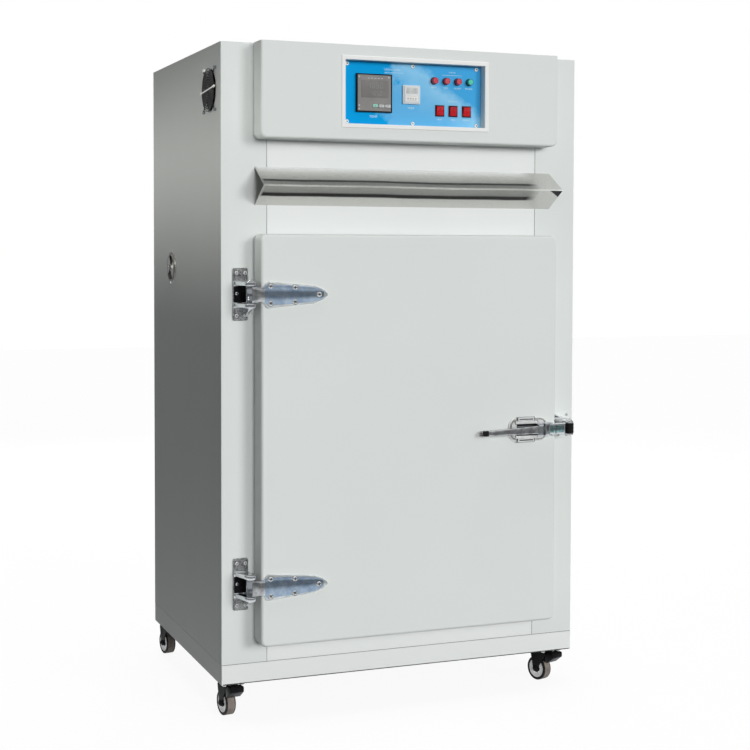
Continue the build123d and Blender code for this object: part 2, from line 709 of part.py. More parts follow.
def control_gear():
    """A mounting plate with contactors in the compartment above the chamber."""
    base_z = DECK_Z + DECK_SHEET
    plate = block(
        GEAR_X, GEAR_X + GEAR_PLATE_WIDTH, GEAR_Y, GEAR_Y + GEAR_PLATE_THICKNESS,
        base_z, base_z + GEAR_PLATE_HEIGHT,
    )
    pitch = GEAR_PLATE_WIDTH / CONTACTORS
    blocks = []
    for index in range(CONTACTORS):
        left = GEAR_X + pitch * (index + 0.5) - CONTACTOR_WIDTH / 2
        bottom = base_z + (GEAR_PLATE_HEIGHT - CONTACTOR_HEIGHT) / 2
        blocks.append(block(
            left, left + CONTACTOR_WIDTH, GEAR_Y - CONTACTOR_DEPTH, GEAR_Y,
            bottom, bottom + CONTACTOR_HEIGHT,
        ))
    save("control_gear", plate, *blocks)

    outside = (GLAND_X, CABINET_DEPTH, GLAND_Z)
    gland = rod(outside, (0, 1, 0), GLAND_NUT, GLAND_NUT_HEIGHT)
    gland += rod(outside, (0, 1, 0), GLAND_RADIUS, GLAND_REACH)
    inner_face = CABINET_DEPTH - SHEET - GLAND_NUT_HEIGHT
    gland += rod((GLAND_X, inner_face, GLAND_Z), (0, 1, 0), GLAND_NUT, GLAND_NUT_HEIGHT)
    gland += rod((GLAND_X, inner_face, GLAND_Z), (0, 1, 0), GLAND_RADIUS, GLAND_NUT_HEIGHT + SHEET)
    length = GLAND_REACH + SHEET + GLAND_NUT_HEIGHT
    gland -= rod((GLAND_X, inner_face - 1, GLAND_Z), (0, 1, 0), GLAND_BORE, length + 2)
    save("power_gland", gland)


def control_housing():
    """The raised box over the door with its framed window for the control panel."""
    housing = rounded_front(
        DOOR_LEFT, DOOR_RIGHT, -HOUSING_FRONT, 0, HOUSING_BOTTOM, CABINET_HEIGHT,
        HOUSING_CORNER, HOUSING_EDGE, low_corners_only=True,
    )
    hollow = rounded_front(
        DOOR_LEFT + HOUSING_SHEET, DOOR_RIGHT - HOUSING_SHEET, -HOUSING_FRONT + HOUSING_SHEET, 1,
        HOUSING_BOTTOM + HOUSING_SHEET, CABINET_HEIGHT - HOUSING_SHEET,
        HOUSING_CORNER - HOUSING_SHEET, HOUSING_EDGE - HOUSING_SHEET, low_corners_only=True,
    )
    housing -= hollow
    trim = block(
        WINDOW_LEFT - TRIM_WIDTH, WINDOW_RIGHT + TRIM_WIDTH, -HOUSING_FRONT - TRIM_PROUD, -HOUSING_FRONT,
        WINDOW_BOTTOM - TRIM_WIDTH, WINDOW_TOP + TRIM_WIDTH,
    )
    sleeve_back = PANEL_Y + PANEL_SHEET + HOUSING_SHEET
    sleeve = block(
        WINDOW_LEFT - HOUSING_SHEET, WINDOW_RIGHT + HOUSING_SHEET, -HOUSING_FRONT, sleeve_back,
        WINDOW_BOTTOM - HOUSING_SHEET, WINDOW_TOP + HOUSING_SHEET,
    )
    window = block(
        WINDOW_LEFT, WINDOW_RIGHT, -HOUSING_FRONT - TRIM_PROUD - 1, PANEL_Y + PANEL_SHEET,
        WINDOW_BOTTOM, WINDOW_TOP,
    )
    lip = block(
        WINDOW_LEFT + WINDOW_LIP, WINDOW_RIGHT - WINDOW_LIP, PANEL_Y, sleeve_back + 1,
        WINDOW_BOTTOM + WINDOW_LIP, WINDOW_TOP - WINDOW_LIP,
    )
    save("control_housing", housing + trim + sleeve - window - lip)


def control_panel():
    """The coloured panel in the window, with a hole for each control and its screws."""
    panel = block(
        WINDOW_LEFT + SEAT_GAP, WINDOW_RIGHT - SEAT_GAP, PANEL_Y, PANEL_Y + PANEL_SHEET,
        WINDOW_BOTTOM + SEAT_GAP, WINDOW_TOP - SEAT_GAP,
    )
    back = PANEL_Y + PANEL_SHEET + 1
    for left, bottom, size, body in control_cutouts():
        inset = (size - body) / 2
        panel -= block(
            left + inset - SEAT_GAP, left + inset + body + SEAT_GAP, PANEL_Y - 1, back,
            bottom + inset - SEAT_GAP, bottom + inset + body + SEAT_GAP,
        )
    for lamp_x in [*LAMP_XS, GREEN_LAMP_X]:
        panel -= rod((lamp_x, PANEL_Y - 1, LAMP_Z), (0, 1, 0), LAMP_THREAD + SEAT_GAP, PANEL_SHEET + 2)
    for rocker_x in ROCKER_XS:
        panel -= rocker_body(rocker_x, SEAT_GAP)
    save("control_panel", panel)


def control_cutouts():
    """Left, bottom, front size and body size of each square instrument."""
    return (
        (CONTROLLER_LEFT, CONTROLLER_BOTTOM, CONTROLLER_SIZE, CONTROLLER_BODY),
        (TIMER_LEFT, TIMER_BOTTOM, TIMER_SIZE, TIMER_BODY),
    )


def key_places():
    """The left edge of each key on the controller's face."""
    last = CONTROLLER_LEFT + CONTROLLER_SIZE - CONTROLLER_RIM - 1 - KEY_WIDTH
    return [last - KEY_PITCH * (KEY_COUNT - 1 - index) for index in range(KEY_COUNT)]


def instruments():
    """The temperature controller with its keys, and the timer."""
    front = PANEL_Y - CONTROLLER_PROUD
    left = CONTROLLER_LEFT
    bottom = CONTROLLER_BOTTOM
    inset = (CONTROLLER_SIZE - CONTROLLER_BODY) / 2
    bezel = block(left, left + CONTROLLER_SIZE, front, PANEL_Y, bottom, bottom + CONTROLLER_SIZE)
    bezel -= block(
        left + CONTROLLER_RIM, left + CONTROLLER_SIZE - CONTROLLER_RIM, front - 1, front + KEY_PROUD,
        bottom + CONTROLLER_RIM, bottom + CONTROLLER_SIZE - CONTROLLER_RIM,
    )
    body = block(
        left + inset, left + inset + CONTROLLER_BODY, PANEL_Y, PANEL_Y + CONTROLLER_DEPTH,
        bottom + inset, bottom + inset + CONTROLLER_BODY,
    )
    controller = bezel + body
    key_bottom = bottom + KEY_BOTTOM
    face = front + KEY_PROUD
    for number, key_left in enumerate(key_places(), start=1):
        controller -= block(
            key_left - KEY_GAP, key_left + KEY_WIDTH + KEY_GAP,
            face - 1, face + KEY_THICKNESS + KEY_TRAVEL,
            key_bottom - KEY_GAP, key_bottom + KEY_HEIGHT + KEY_GAP,
        )
        key = block(
            key_left, key_left + KEY_WIDTH, face - KEY_PROUD, face + KEY_THICKNESS - KEY_PROUD,
            key_bottom, key_bottom + KEY_HEIGHT,
        )
        save(f"controller_key_{number}", key)
    save("temperature_controller", controller)

    timer_inset = (TIMER_SIZE - TIMER_BODY) / 2
    timer = block(
        TIMER_LEFT, TIMER_LEFT + TIMER_SIZE, PANEL_Y - TIMER_PROUD, PANEL_Y,
        TIMER_BOTTOM, TIMER_BOTTOM + TIMER_SIZE,
    )
    timer += block(
        TIMER_LEFT + timer_inset, TIMER_LEFT + timer_inset + TIMER_BODY,
        PANEL_Y, PANEL_Y + TIMER_DEPTH,
        TIMER_BOTTOM + timer_inset, TIMER_BOTTOM + timer_inset + TIMER_BODY,
    )
    save("timer", timer)


def pilot_lamp(lamp_x):
    """One round lamp with its lens, thread and nut behind the panel."""
    lens = rod((lamp_x, PANEL_Y - LAMP_PROUD, LAMP_Z), (0, 1, 0), LAMP_RADIUS, LAMP_PROUD)
    lens = fillet(lens.edges().sort_by(Axis.Y)[0], LAMP_PROUD / 4)
    lens += rod((lamp_x, PANEL_Y, LAMP_Z), (0, 1, 0), LAMP_THREAD, LAMP_DEPTH)
    nut_y = PANEL_Y + PANEL_SHEET
    lens += rod((lamp_x, nut_y, LAMP_Z), (0, 1, 0), LAMP_NUT, LAMP_NUT_HEIGHT)
    return lens


def rocker_body(rocker_x, grow=0.0):
    """The block of a rocker switch behind the panel, grown for its cutout when asked."""
    half_x = ROCKER_FRAME_WIDTH / 2 - 1 + grow
    half_z = ROCKER_FRAME_HEIGHT / 2 - 1 + grow
    return block(
        rocker_x - half_x, rocker_x + half_x, PANEL_Y - grow, PANEL_Y + ROCKER_DEPTH,
        ROCKER_Z - half_z, ROCKER_Z + half_z,
    )


def lamps_and_switches():
    """Pilot lamps and the rocker switches under them."""
    save("pilot_lamps_red", *[pilot_lamp(lamp_x) for lamp_x in LAMP_XS])
    save("pilot_lamp_green", pilot_lamp(GREEN_LAMP_X))
    frames = []
    front = PANEL_Y - ROCKER_FRAME_PROUD
    for number, rocker_x in enumerate(ROCKER_XS, start=1):
        frame = block(
            rocker_x - ROCKER_FRAME_WIDTH / 2, rocker_x + ROCKER_FRAME_WIDTH / 2, front, PANEL_Y,
            ROCKER_Z - ROCKER_FRAME_HEIGHT / 2, ROCKER_Z + ROCKER_FRAME_HEIGHT / 2,
        )
        frame += rocker_body(rocker_x)
        half_z = ROCKER_HEIGHT / 2 + ROCKER_GAP + ROCKER_GAP
        frame -= block(
            rocker_x - ROCKER_WIDTH / 2 - ROCKER_GAP, rocker_x + ROCKER_WIDTH / 2 + ROCKER_GAP,
            front - 1, front + ROCKER_THICKNESS + ROCKER_GAP * 3,
            ROCKER_Z - half_z, ROCKER_Z + half_z,
        )
        frames.append(frame)
        rocker = block(
            -ROCKER_WIDTH / 2, ROCKER_WIDTH / 2, -ROCKER_PROUD, ROCKER_THICKNESS - ROCKER_PROUD,
            -ROCKER_HEIGHT / 2, ROCKER_HEIGHT / 2,
        )
        save(f"rocker_{number}", Pos(rocker_x, front, ROCKER_Z) * Rot(ROCKER_TILT, 0, 0) * rocker)
    save("rocker_frames", *frames)


def steam_guard():
    """The folded V guard that turns steam away from the controls."""
    top = GUARD_BOTTOM + GUARD_HEIGHT
    ridge_z = GUARD_BOTTOM + GUARD_HEIGHT / 2
    slope = math.atan2(GUARD_HEIGHT / 2, GUARD_PROUD)
    ridge_step = GUARD_SHEET / math.sin(slope)
    edge_step = GUARD_SHEET / math.cos(slope)
    section = [
        (0, top), (-GUARD_PROUD, ridge_z), (0, GUARD_BOTTOM), (0, GUARD_BOTTOM + edge_step),
        (-GUARD_PROUD + ridge_step, ridge_z), (0, top - edge_step),
    ]
    save("steam_guard", prism_x(section, GUARD_LEFT, GUARD_LEFT + GUARD_LENGTH))


def door():
    """The door: a pressed front pan, its filling, its inner pan with the plug, and the seal."""
    back = -DOOR_GAP
    skin = rounded_front(
        DOOR_LEFT, DOOR_RIGHT, -DOOR_FRONT, back, DOOR_BOTTOM, DOOR_TOP, DOOR_CORNER, DOOR_EDGE,
    )
    inner = DOOR_SHEET
    hollow = rounded_front(
        DOOR_LEFT + inner, DOOR_RIGHT - inner, -DOOR_FRONT + inner, back + 1,
        DOOR_BOTTOM + inner, DOOR_TOP - inner, DOOR_CORNER - inner, DOOR_EDGE - inner,
    )
    save("door_skin", skin - hollow)

    core_inset = inner + SEAT_GAP
    flange_front = back - DOOR_FLANGE
    core = rounded_front(
        DOOR_LEFT + core_inset, DOOR_RIGHT - core_inset, -DOOR_FRONT + core_inset,
        flange_front - SEAT_GAP, DOOR_BOTTOM + core_inset, DOOR_TOP - core_inset,
        DOOR_CORNER - core_inset, DOOR_EDGE - core_inset,
    )
    plug_left = MOUTH_LEFT + PLUG_CLEARANCE
    plug_right = MOUTH_RIGHT - PLUG_CLEARANCE
    plug_bottom = MOUTH_BOTTOM + PLUG_CLEARANCE
    plug_top = MOUTH_TOP - PLUG_CLEARANCE
    wall = PLUG_SHEET + SEAT_GAP
    core += block(
        plug_left + wall, plug_right - wall, flange_front - 1, PLUG_DEPTH - wall,
        plug_bottom + wall, plug_top - wall,
    )
    save("door_core", core)

    flange = block(
        DOOR_LEFT + core_inset, DOOR_RIGHT - core_inset, flange_front, back,
        DOOR_BOTTOM + core_inset, DOOR_TOP - core_inset,
    )
    flange = fillet(flange.edges().filter_by(Axis.Y), DOOR_CORNER - core_inset)
    plug = block(plug_left, plug_right, flange_front, PLUG_DEPTH, plug_bottom, plug_top)
    pocket = block(
        plug_left + PLUG_SHEET, plug_right - PLUG_SHEET, flange_front - 1, PLUG_DEPTH - PLUG_SHEET,
        plug_bottom + PLUG_SHEET, plug_top - PLUG_SHEET,
    )
    save("door_liner", flange + plug - pocket)

    seal = block(
        DOOR_LEFT + GASKET_INSET, DOOR_RIGHT - GASKET_INSET, back, -SEAT_GAP,
        DOOR_BOTTOM + GASKET_INSET, DOOR_TOP - GASKET_INSET,
    )
    inset = GASKET_INSET + GASKET_WIDTH
    seal -= block(
        DOOR_LEFT + inset, DOOR_RIGHT - inset, back - 1, 1, DOOR_BOTTOM + inset, DOOR_TOP - inset,
    )
    save("door_gasket", seal)


def hinge_base(level):
    """The leaf and its two ears on the cabinet, and the pin through them."""
    leaf = block(
        LEAF_LEFT, LEAF_LEFT + LEAF_WIDTH, -LEAF_THICKNESS, 0,
        level - LEAF_HEIGHT / 2, level + LEAF_HEIGHT / 2,
    )
    for low in (level - EAR_GAP / 2 - EAR_THICKNESS, level + EAR_GAP / 2):
        outline = [
            (LEAF_LEFT + 2, -LEAF_THICKNESS + 1), (LEAF_LEFT + LEAF_WIDTH, -LEAF_THICKNESS + 1),
            (PIN_X + EAR_RADIUS, PIN_Y), (PIN_X - EAR_RADIUS, PIN_Y),
        ]
        ear = prism_z(outline, low, low + EAR_THICKNESS)
        ear += rod((PIN_X, PIN_Y, low), (0, 0, 1), EAR_RADIUS, EAR_THICKNESS)
        leaf += ear
    reach = EAR_GAP / 2 + EAR_THICKNESS
    hole = PIN_RADIUS + PIN_CLEARANCE
    leaf -= rod((PIN_X, PIN_Y, level - reach - 1), (0, 0, 1), hole, 2 * reach + 2)
    pin = rod((PIN_X, PIN_Y, level - reach), (0, 0, 1), PIN_RADIUS, 2 * reach)
    pin += rod((PIN_X, PIN_Y, level + reach), (0, 0, 1), PIN_HEAD, PIN_HEAD_HEIGHT)
    return [leaf, pin]


def strap_outline(level, inset=0.0):
    """The pointed outline of a strap, seen from the front, drawn in by an inset."""
    start = STRAP_START + inset
    shoulder = STRAP_START + STRAP_SHOULDER
    narrow_x = STRAP_START + STRAP_LENGTH - STRAP_POINT
    tip = STRAP_START + STRAP_LENGTH - inset
    neck = STRAP_NECK / 2 - inset
    wide = STRAP_WIDE / 2 - inset
    narrow = STRAP_NARROW / 2 - inset
    upper = [(start, neck), (shoulder, wide), (narrow_x, narrow), (tip, 2)]
    lower = [(x, -z) for x, z in reversed(upper)]
    return [(x, level + z) for x, z in upper + lower]


def hinge_strap(level):
    """The strap on the door with its neck and the knuckle between the ears."""
    face = -DOOR_FRONT
    strap = prism_y(strap_outline(level), face - STRAP_THICKNESS, face)
    rib = prism_y(strap_outline(level, STRAP_RIB_INSET), face - STRAP_THICKNESS - STRAP_RIB, face)
    neck = block(
        PIN_X, STRAP_START + STRAP_SHOULDER, face - STRAP_THICKNESS, face,
        level - STRAP_NECK / 2, level + STRAP_NECK / 2,
    )
    half = KNUCKLE_HEIGHT / 2
    knuckle = rod((PIN_X, PIN_Y, level - half), (0, 0, 1), KNUCKLE_RADIUS, KNUCKLE_HEIGHT)
    strap = strap + rib + neck + knuckle
    hole = PIN_RADIUS + PIN_CLEARANCE
    return strap - rod((PIN_X, PIN_Y, level - half - 1), (0, 0, 1), hole, KNUCKLE_HEIGHT + 2)


def screw_head(x, y, z, radius):
    """A low domed screw head that looks to the front."""
    head = rod((x, y - SCREW_HEAD_HEIGHT, z), (0, 1, 0), radius, SCREW_HEAD_HEIGHT)
    return fillet(head.edges().sort_by(Axis.Y)[0], SCREW_HEAD_HEIGHT / 2)


def hinges():
    """Both door hinges and every screw head that shows."""
    bases = []
    straps = []
    door_screws = []
    cabinet_screws = []
    strap_face = -DOOR_FRONT - STRAP_THICKNESS - STRAP_RIB
    for level in HINGE_LEVELS:
        bases += hinge_base(level)
        straps.append(hinge_strap(level))
        for x, rise in STRAP_SCREWS:
            door_screws.append(screw_head(PIN_X + x, strap_face, level + rise, STRAP_SCREW_HEAD))
        for x, rise in LEAF_SCREWS:
            cabinet_screws.append(screw_head(PIN_X + x, -LEAF_THICKNESS, level + rise, STRAP_SCREW_HEAD))
    save("hinge_bases", *bases)
    save("hinge_straps", *straps)
    save("door_screws", *door_screws)
    columns = (
        WINDOW_LEFT + PANEL_SCREW_INSET, WINDOW_LEFT + WINDOW_WIDTH / 2, WINDOW_RIGHT - PANEL_SCREW_INSET,
    )
    rows = (WINDOW_BOTTOM + PANEL_SCREW_INSET, WINDOW_TOP - PANEL_SCREW_INSET)
    for x in columns:
        for z in rows:
            cabinet_screws.append(screw_head(x, PANEL_Y, z, PANEL_SCREW_HEAD))
    save("cabinet_screws", *cabinet_screws)


def latch():
    """The pull latch: its base on the door, the lever, the bolt, and the keeper with its roller."""
    face = -DOOR_FRONT
    plate_half = LATCH_PLATE_WIDTH / 2
    plate = block(
        LATCH_PLATE_X - plate_half, LATCH_PLATE_X + plate_half, face - LATCH_PLATE_THICKNESS, face,
        LATCH_Z - LATCH_PLATE_HEIGHT / 2, LATCH_Z + LATCH_PLATE_HEIGHT / 2,
    )
    plate = fillet(plate.edges().filter_by(Axis.Y), LATCH_PLATE_HEIGHT / 2 - 1)
    base = plate + block(
        LATCH_BLOCK_LEFT, LATCH_BLOCK_LEFT + LATCH_BLOCK_WIDTH, -LATCH_BLOCK_FRONT, face,
        LATCH_Z - LATCH_BLOCK_HEIGHT / 2, LATCH_Z + LATCH_BLOCK_HEIGHT / 2,
    )
    lug_inner = LEVER_ROOT_HEIGHT / 2 + SEAT_GAP
    for low in (LATCH_Z + lug_inner, LATCH_Z - lug_inner - LUG_THICKNESS):
        lug = block(
            LEVER_PIVOT_X - LUG_RADIUS, LEVER_PIVOT_X + LUG_RADIUS, LEVER_PIVOT_Y, face,
            low, low + LUG_THICKNESS,
        )
        lug += rod((LEVER_PIVOT_X, LEVER_PIVOT_Y, low), (0, 0, 1), LUG_RADIUS, LUG_THICKNESS)
        base += lug
    cheek_left = BOLT_LEFT - BOLT_TRAVEL
    cheek_inner = BOLT_HEIGHT / 2 + SEAT_GAP
    for low in (LATCH_Z + cheek_inner, LATCH_Z - cheek_inner - BOLT_CHEEK):
        base += block(
            cheek_left, cheek_left + BOLT_CHEEK_LENGTH, -BOLT_FRONT, face, low, low + BOLT_CHEEK,
        )
    hole = LEVER_PIN + PIN_CLEARANCE
    pin_half = lug_inner + LUG_THICKNESS
    pin_start = (LEVER_PIVOT_X, LEVER_PIVOT_Y, LATCH_Z - pin_half)
    base -= rod((LEVER_PIVOT_X, LEVER_PIVOT_Y, LATCH_Z - pin_half - 1), (0, 0, 1), hole, 2 * pin_half + 2)
    pin = rod(pin_start, (0, 0, 1), LEVER_PIN, 2 * pin_half)
    pin += rod((LEVER_PIVOT_X, LEVER_PIVOT_Y, LATCH_Z + pin_half), (0, 0, 1), LEVER_PIN + 2, 2)
    save("latch_base", base, pin)

    half = LEVER_ROOT_HEIGHT / 2
    arm = prism_y(
        [
            (LEVER_TIP, LATCH_Z - half), (LEVER_PIVOT_X, LATCH_Z - half),
            (LEVER_PIVOT_X, LATCH_Z + half), (LEVER_TIP, LATCH_Z - half + LEVER_TIP_HEIGHT),
        ],
        LEVER_PIVOT_Y - LEVER_THICKNESS / 2, LEVER_PIVOT_Y + LEVER_THICKNESS / 2,
    )
    eye_start = (LEVER_PIVOT_X, LEVER_PIVOT_Y, LATCH_Z - half)
    lever = arm + rod(eye_start, (0, 0, 1), LEVER_EYE, LEVER_ROOT_HEIGHT)
    lever -= rod((LEVER_PIVOT_X, LEVER_PIVOT_Y, LATCH_Z - half - 1), (0, 0, 1), hole, 2 * half + 2)
    save("latch_lever", lever)

    bolt = block(
        BOLT_LEFT, BOLT_LEFT + BOLT_LENGTH, -BOLT_FRONT, -BOLT_BACK,
        LATCH_Z - BOLT_HEIGHT / 2, LATCH_Z + BOLT_HEIGHT / 2,
    )
    save("latch_bolt", fillet(bolt.edges().filter_by(Axis.X), 2))

    keeper = block(
        KEEPER_LEFT, KEEPER_LEFT + KEEPER_WIDTH, -KEEPER_THICKNESS, 0,
        LATCH_Z - KEEPER_HEIGHT / 2, LATCH_Z + KEEPER_HEIGHT / 2,
    )
    arm_inner = ROLLER_HEIGHT / 2 + ROLLER_GAP
    for low in (LATCH_Z + arm_inner, LATCH_Z - arm_inner - KEEPER_ARM):
        outline = [
            (ROLLER_X - ROLLER_RADIUS + 1, -KEEPER_THICKNESS + 1),
            (KEEPER_LEFT + KEEPER_WIDTH - 2, -KEEPER_THICKNESS + 1),
            (ROLLER_X + ROLLER_RADIUS - 1, ROLLER_Y), (ROLLER_X - ROLLER_RADIUS + 1, ROLLER_Y),
        ]
        keeper += prism_z(outline, low, low + KEEPER_ARM)
        keeper += rod((ROLLER_X, ROLLER_Y, low), (0, 0, 1), ROLLER_RADIUS - 1, KEEPER_ARM)
    axle_half = arm_inner + KEEPER_ARM
    keeper -= rod((ROLLER_X, ROLLER_Y, LATCH_Z - axle_half - 1), (0, 0, 1), ROLLER_PIN, 2 * axle_half + 2)
    axle = rod((ROLLER_X, ROLLER_Y, LATCH_Z - axle_half), (0, 0, 1), ROLLER_PIN, 2 * axle_half)
    save("latch_keeper", keeper, axle)

    roller = tube(
        (ROLLER_X, ROLLER_Y, LATCH_Z - ROLLER_HEIGHT / 2), (0, 0, 1),
        ROLLER_RADIUS, ROLLER_PIN + PIN_CLEARANCE, ROLLER_HEIGHT,
    )
    save("keeper_roller", roller)


def fan_guard():
    """The wire guard over the fan: rings on four arms with feet, and one bar across them."""
    wire = GUARD_WIRE / 2
    ring_x = -GUARD_STANDOFF - wire
    rings = [
        tube((ring_x, FAN_Y, FAN_Z), (1, 0, 0), radius + wire, radius - wire, GUARD_WIRE)
        for radius in GUARD_RINGS
    ]
    reach = FAN_SCREW_PITCH / math.sqrt(2)
    arm = block(ring_x + wire, ring_x + wire + GUARD_WIRE, GUARD_RINGS[0], reach, -wire, wire)
    arm += rod((ring_x + wire, reach, 0), (1, 0, 0), GUARD_WIRE * 1.5, -ring_x - wire)
    arms = [
        Pos(0, FAN_Y, FAN_Z) * Rot(360 / 4 * index + 360 / 8, 0, 0) * arm for index in range(4)
    ]
    bar = block(
        ring_x - GUARD_BAR_THICKNESS, ring_x + wire / 2, -GUARD_BAR_REACH, GUARD_BAR_REACH,
        -GUARD_BAR_WIDTH / 2, GUARD_BAR_WIDTH / 2,
    )
    return rings[0].fuse(*rings[1:], *arms, Pos(0, FAN_Y, FAN_Z) * bar)


def side_fan():
    """The cooling fan in the left side panel: its square frame, wire guard and impeller."""
    inside = SHEET
    frame = block(
        inside, inside + FAN_DEPTH, FAN_Y - FAN_SIZE / 2, FAN_Y + FAN_SIZE / 2,
        FAN_Z - FAN_SIZE / 2, FAN_Z + FAN_SIZE / 2,
    )
    frame -= rod((inside - 1, FAN_Y, FAN_Z), (1, 0, 0), FAN_BORE, FAN_DEPTH + 2)
    hub_x = inside + FAN_DEPTH - FAN_STRUT
    frame += rod((hub_x, FAN_Y, FAN_Z), (1, 0, 0), FAN_HUB, FAN_STRUT)
    strut = block(
        hub_x, hub_x + FAN_STRUT, FAN_HUB - 2, FAN_BORE + 2, -FAN_STRUT / 2, FAN_STRUT / 2,
    )
    for index in range(4):
        frame += Pos(0, FAN_Y, FAN_Z) * Rot(360 / 4 * index + 360 / 8, 0, 0) * strut
    axle_start = inside + FAN_STRUT * 2
    frame += rod((axle_start, FAN_Y, FAN_Z), (1, 0, 0), FAN_AXLE, hub_x - axle_start)

    save("side_fan_frame", frame, fan_guard())

    tip = FAN_BORE - FAN_TIP_GAP
    impeller_x = inside + FAN_STRUT
    hub_length = hub_x - FAN_TIP_GAP - impeller_x
    hub = rod((impeller_x, FAN_Y, FAN_Z), (1, 0, 0), FAN_HUB - 1, hub_length)
    blade = block(
        impeller_x + 2, impeller_x + hub_length - 2, FAN_HUB - 3, tip - 1, -1, 1,
    )
    blades = []
    for index in range(FAN_BLADES):
        pitched = Pos(impeller_x + hub_length / 2, 0, 0) * Rot(0, 35, 0)
        pitched = pitched * Pos(-impeller_x - hub_length / 2, 0, 0) * blade
        blades.append(Pos(0, FAN_Y, FAN_Z) * Rot(360 / FAN_BLADES * index, 0, 0) * pitched)
    impeller = hub.fuse(*blades)
    bore = FAN_AXLE + SHAFT_CLEARANCE
    impeller -= rod((axle_start - SEAT_GAP, FAN_Y, FAN_Z), (1, 0, 0), bore, FAN_DEPTH)
    save("fan_impeller", impeller)


def sector(x0, thickness, radius, start_angle):
    """A pie-shaped prism about the vent's axis."""
    steps = 6
    points = [(VENT_Y, VENT_Z)]
    for step in range(steps + 1):
        angle = math.radians(start_angle + VENT_SECTOR * step / steps)
        points.append((VENT_Y + radius * math.cos(angle), VENT_Z + radius * math.sin(angle)))
    return prism_x(points, x0, x0 + thickness)


def vent():
    """The round air vent: a flanged tube to the chamber and a turning shutter with a knob."""
    flange_x = -VENT_FLANGE
    length = MOUTH_LEFT - CHAMBER_SHEET + VENT_FLANGE
    collar = rod((flange_x, VENT_Y, VENT_Z), (1, 0, 0), VENT_RADIUS, VENT_FLANGE)
    collar += rod((flange_x, VENT_Y, VENT_Z), (1, 0, 0), VENT_TUBE, length)
    bore = VENT_TUBE - VENT_WALL
    collar -= rod((flange_x + VENT_PLATE, VENT_Y, VENT_Z), (1, 0, 0), bore, length)
    spindle_hole = VENT_SPINDLE + SHAFT_CLEARANCE
    collar -= rod((flange_x - 1, VENT_Y, VENT_Z), (1, 0, 0), spindle_hole, VENT_PLATE + 2)
    window = bore - VENT_FLANGE
    hub = rod((flange_x - 1, VENT_Y, VENT_Z), (1, 0, 0), VENT_KNOB, VENT_PLATE + 2)
    for start_angle in (0, 180):
        collar -= sector(flange_x - 1, VENT_PLATE + 2, window, start_angle) - hub
    save("vent_collar", collar)

    disc_x = flange_x - VENT_PLATE - SEAT_GAP
    disc = rod((disc_x, VENT_Y, VENT_Z), (1, 0, 0), VENT_TUBE, VENT_PLATE)
    disc_hub = rod((disc_x - 1, VENT_Y, VENT_Z), (1, 0, 0), VENT_KNOB, VENT_PLATE + 2)
    for start_angle in (60, 240):
        disc -= sector(disc_x - 1, VENT_PLATE + 2, window, start_angle) - disc_hub
    disc += rod((disc_x - VENT_KNOB_LENGTH, VENT_Y, VENT_Z), (1, 0, 0), VENT_KNOB, VENT_KNOB_LENGTH)
    disc += rod((disc_x, VENT_Y, VENT_Z), (1, 0, 0), VENT_SPINDLE, VENT_PLATE * 3)
    save("vent_damper", disc)


def caster_plate(x, y):
    """The top plate, ball race and kingpin of one caster, each a piece of its own, and its bolts."""
    plate = block(
        x - CASTER_PLATE_WIDTH / 2, x + CASTER_PLATE_WIDTH / 2,
        y - CASTER_PLATE_LENGTH / 2, y + CASTER_PLATE_LENGTH / 2,
        -CASTER_PLATE_THICKNESS, 0,
    )
    race_z = -CASTER_PLATE_THICKNESS - CASTER_RACE_HEIGHT
    race = rod((x, y, race_z), (0, 0, 1), CASTER_RACE_RADIUS, CASTER_RACE_HEIGHT)
    bore = KINGPIN_RADIUS + PIN_CLEARANCE
    race -= rod((x, y, race_z - 1), (0, 0, 1), bore, CASTER_RACE_HEIGHT + 2)
    pin_z = race_z - SEAT_GAP - FORK_SHEET - SEAT_GAP
    kingpin = rod((x, y, pin_z), (0, 0, 1), KINGPIN_RADIUS, -CASTER_PLATE_THICKNESS - pin_z)
    kingpin += rod((x, y, pin_z - 2), (0, 0, 1), KINGPIN_RADIUS * 1.5, 2)
    bolts = []
    reach_x = CASTER_PLATE_WIDTH / 2 - CASTER_BOLT_INSET
    reach_y = CASTER_PLATE_LENGTH / 2 - CASTER_BOLT_INSET
    bolt_z = -CASTER_PLATE_THICKNESS - CASTER_BOLT_HEIGHT
    for side_x in (-1, 1):
        for side_y in (-1, 1):
            place = (x + side_x * reach_x, y + side_y * reach_y, bolt_z)
            bolts.append(rod(place, (0, 0, 1), CASTER_BOLT_HEAD, CASTER_BOLT_HEIGHT))
    return [plate, race, kingpin, *bolts]


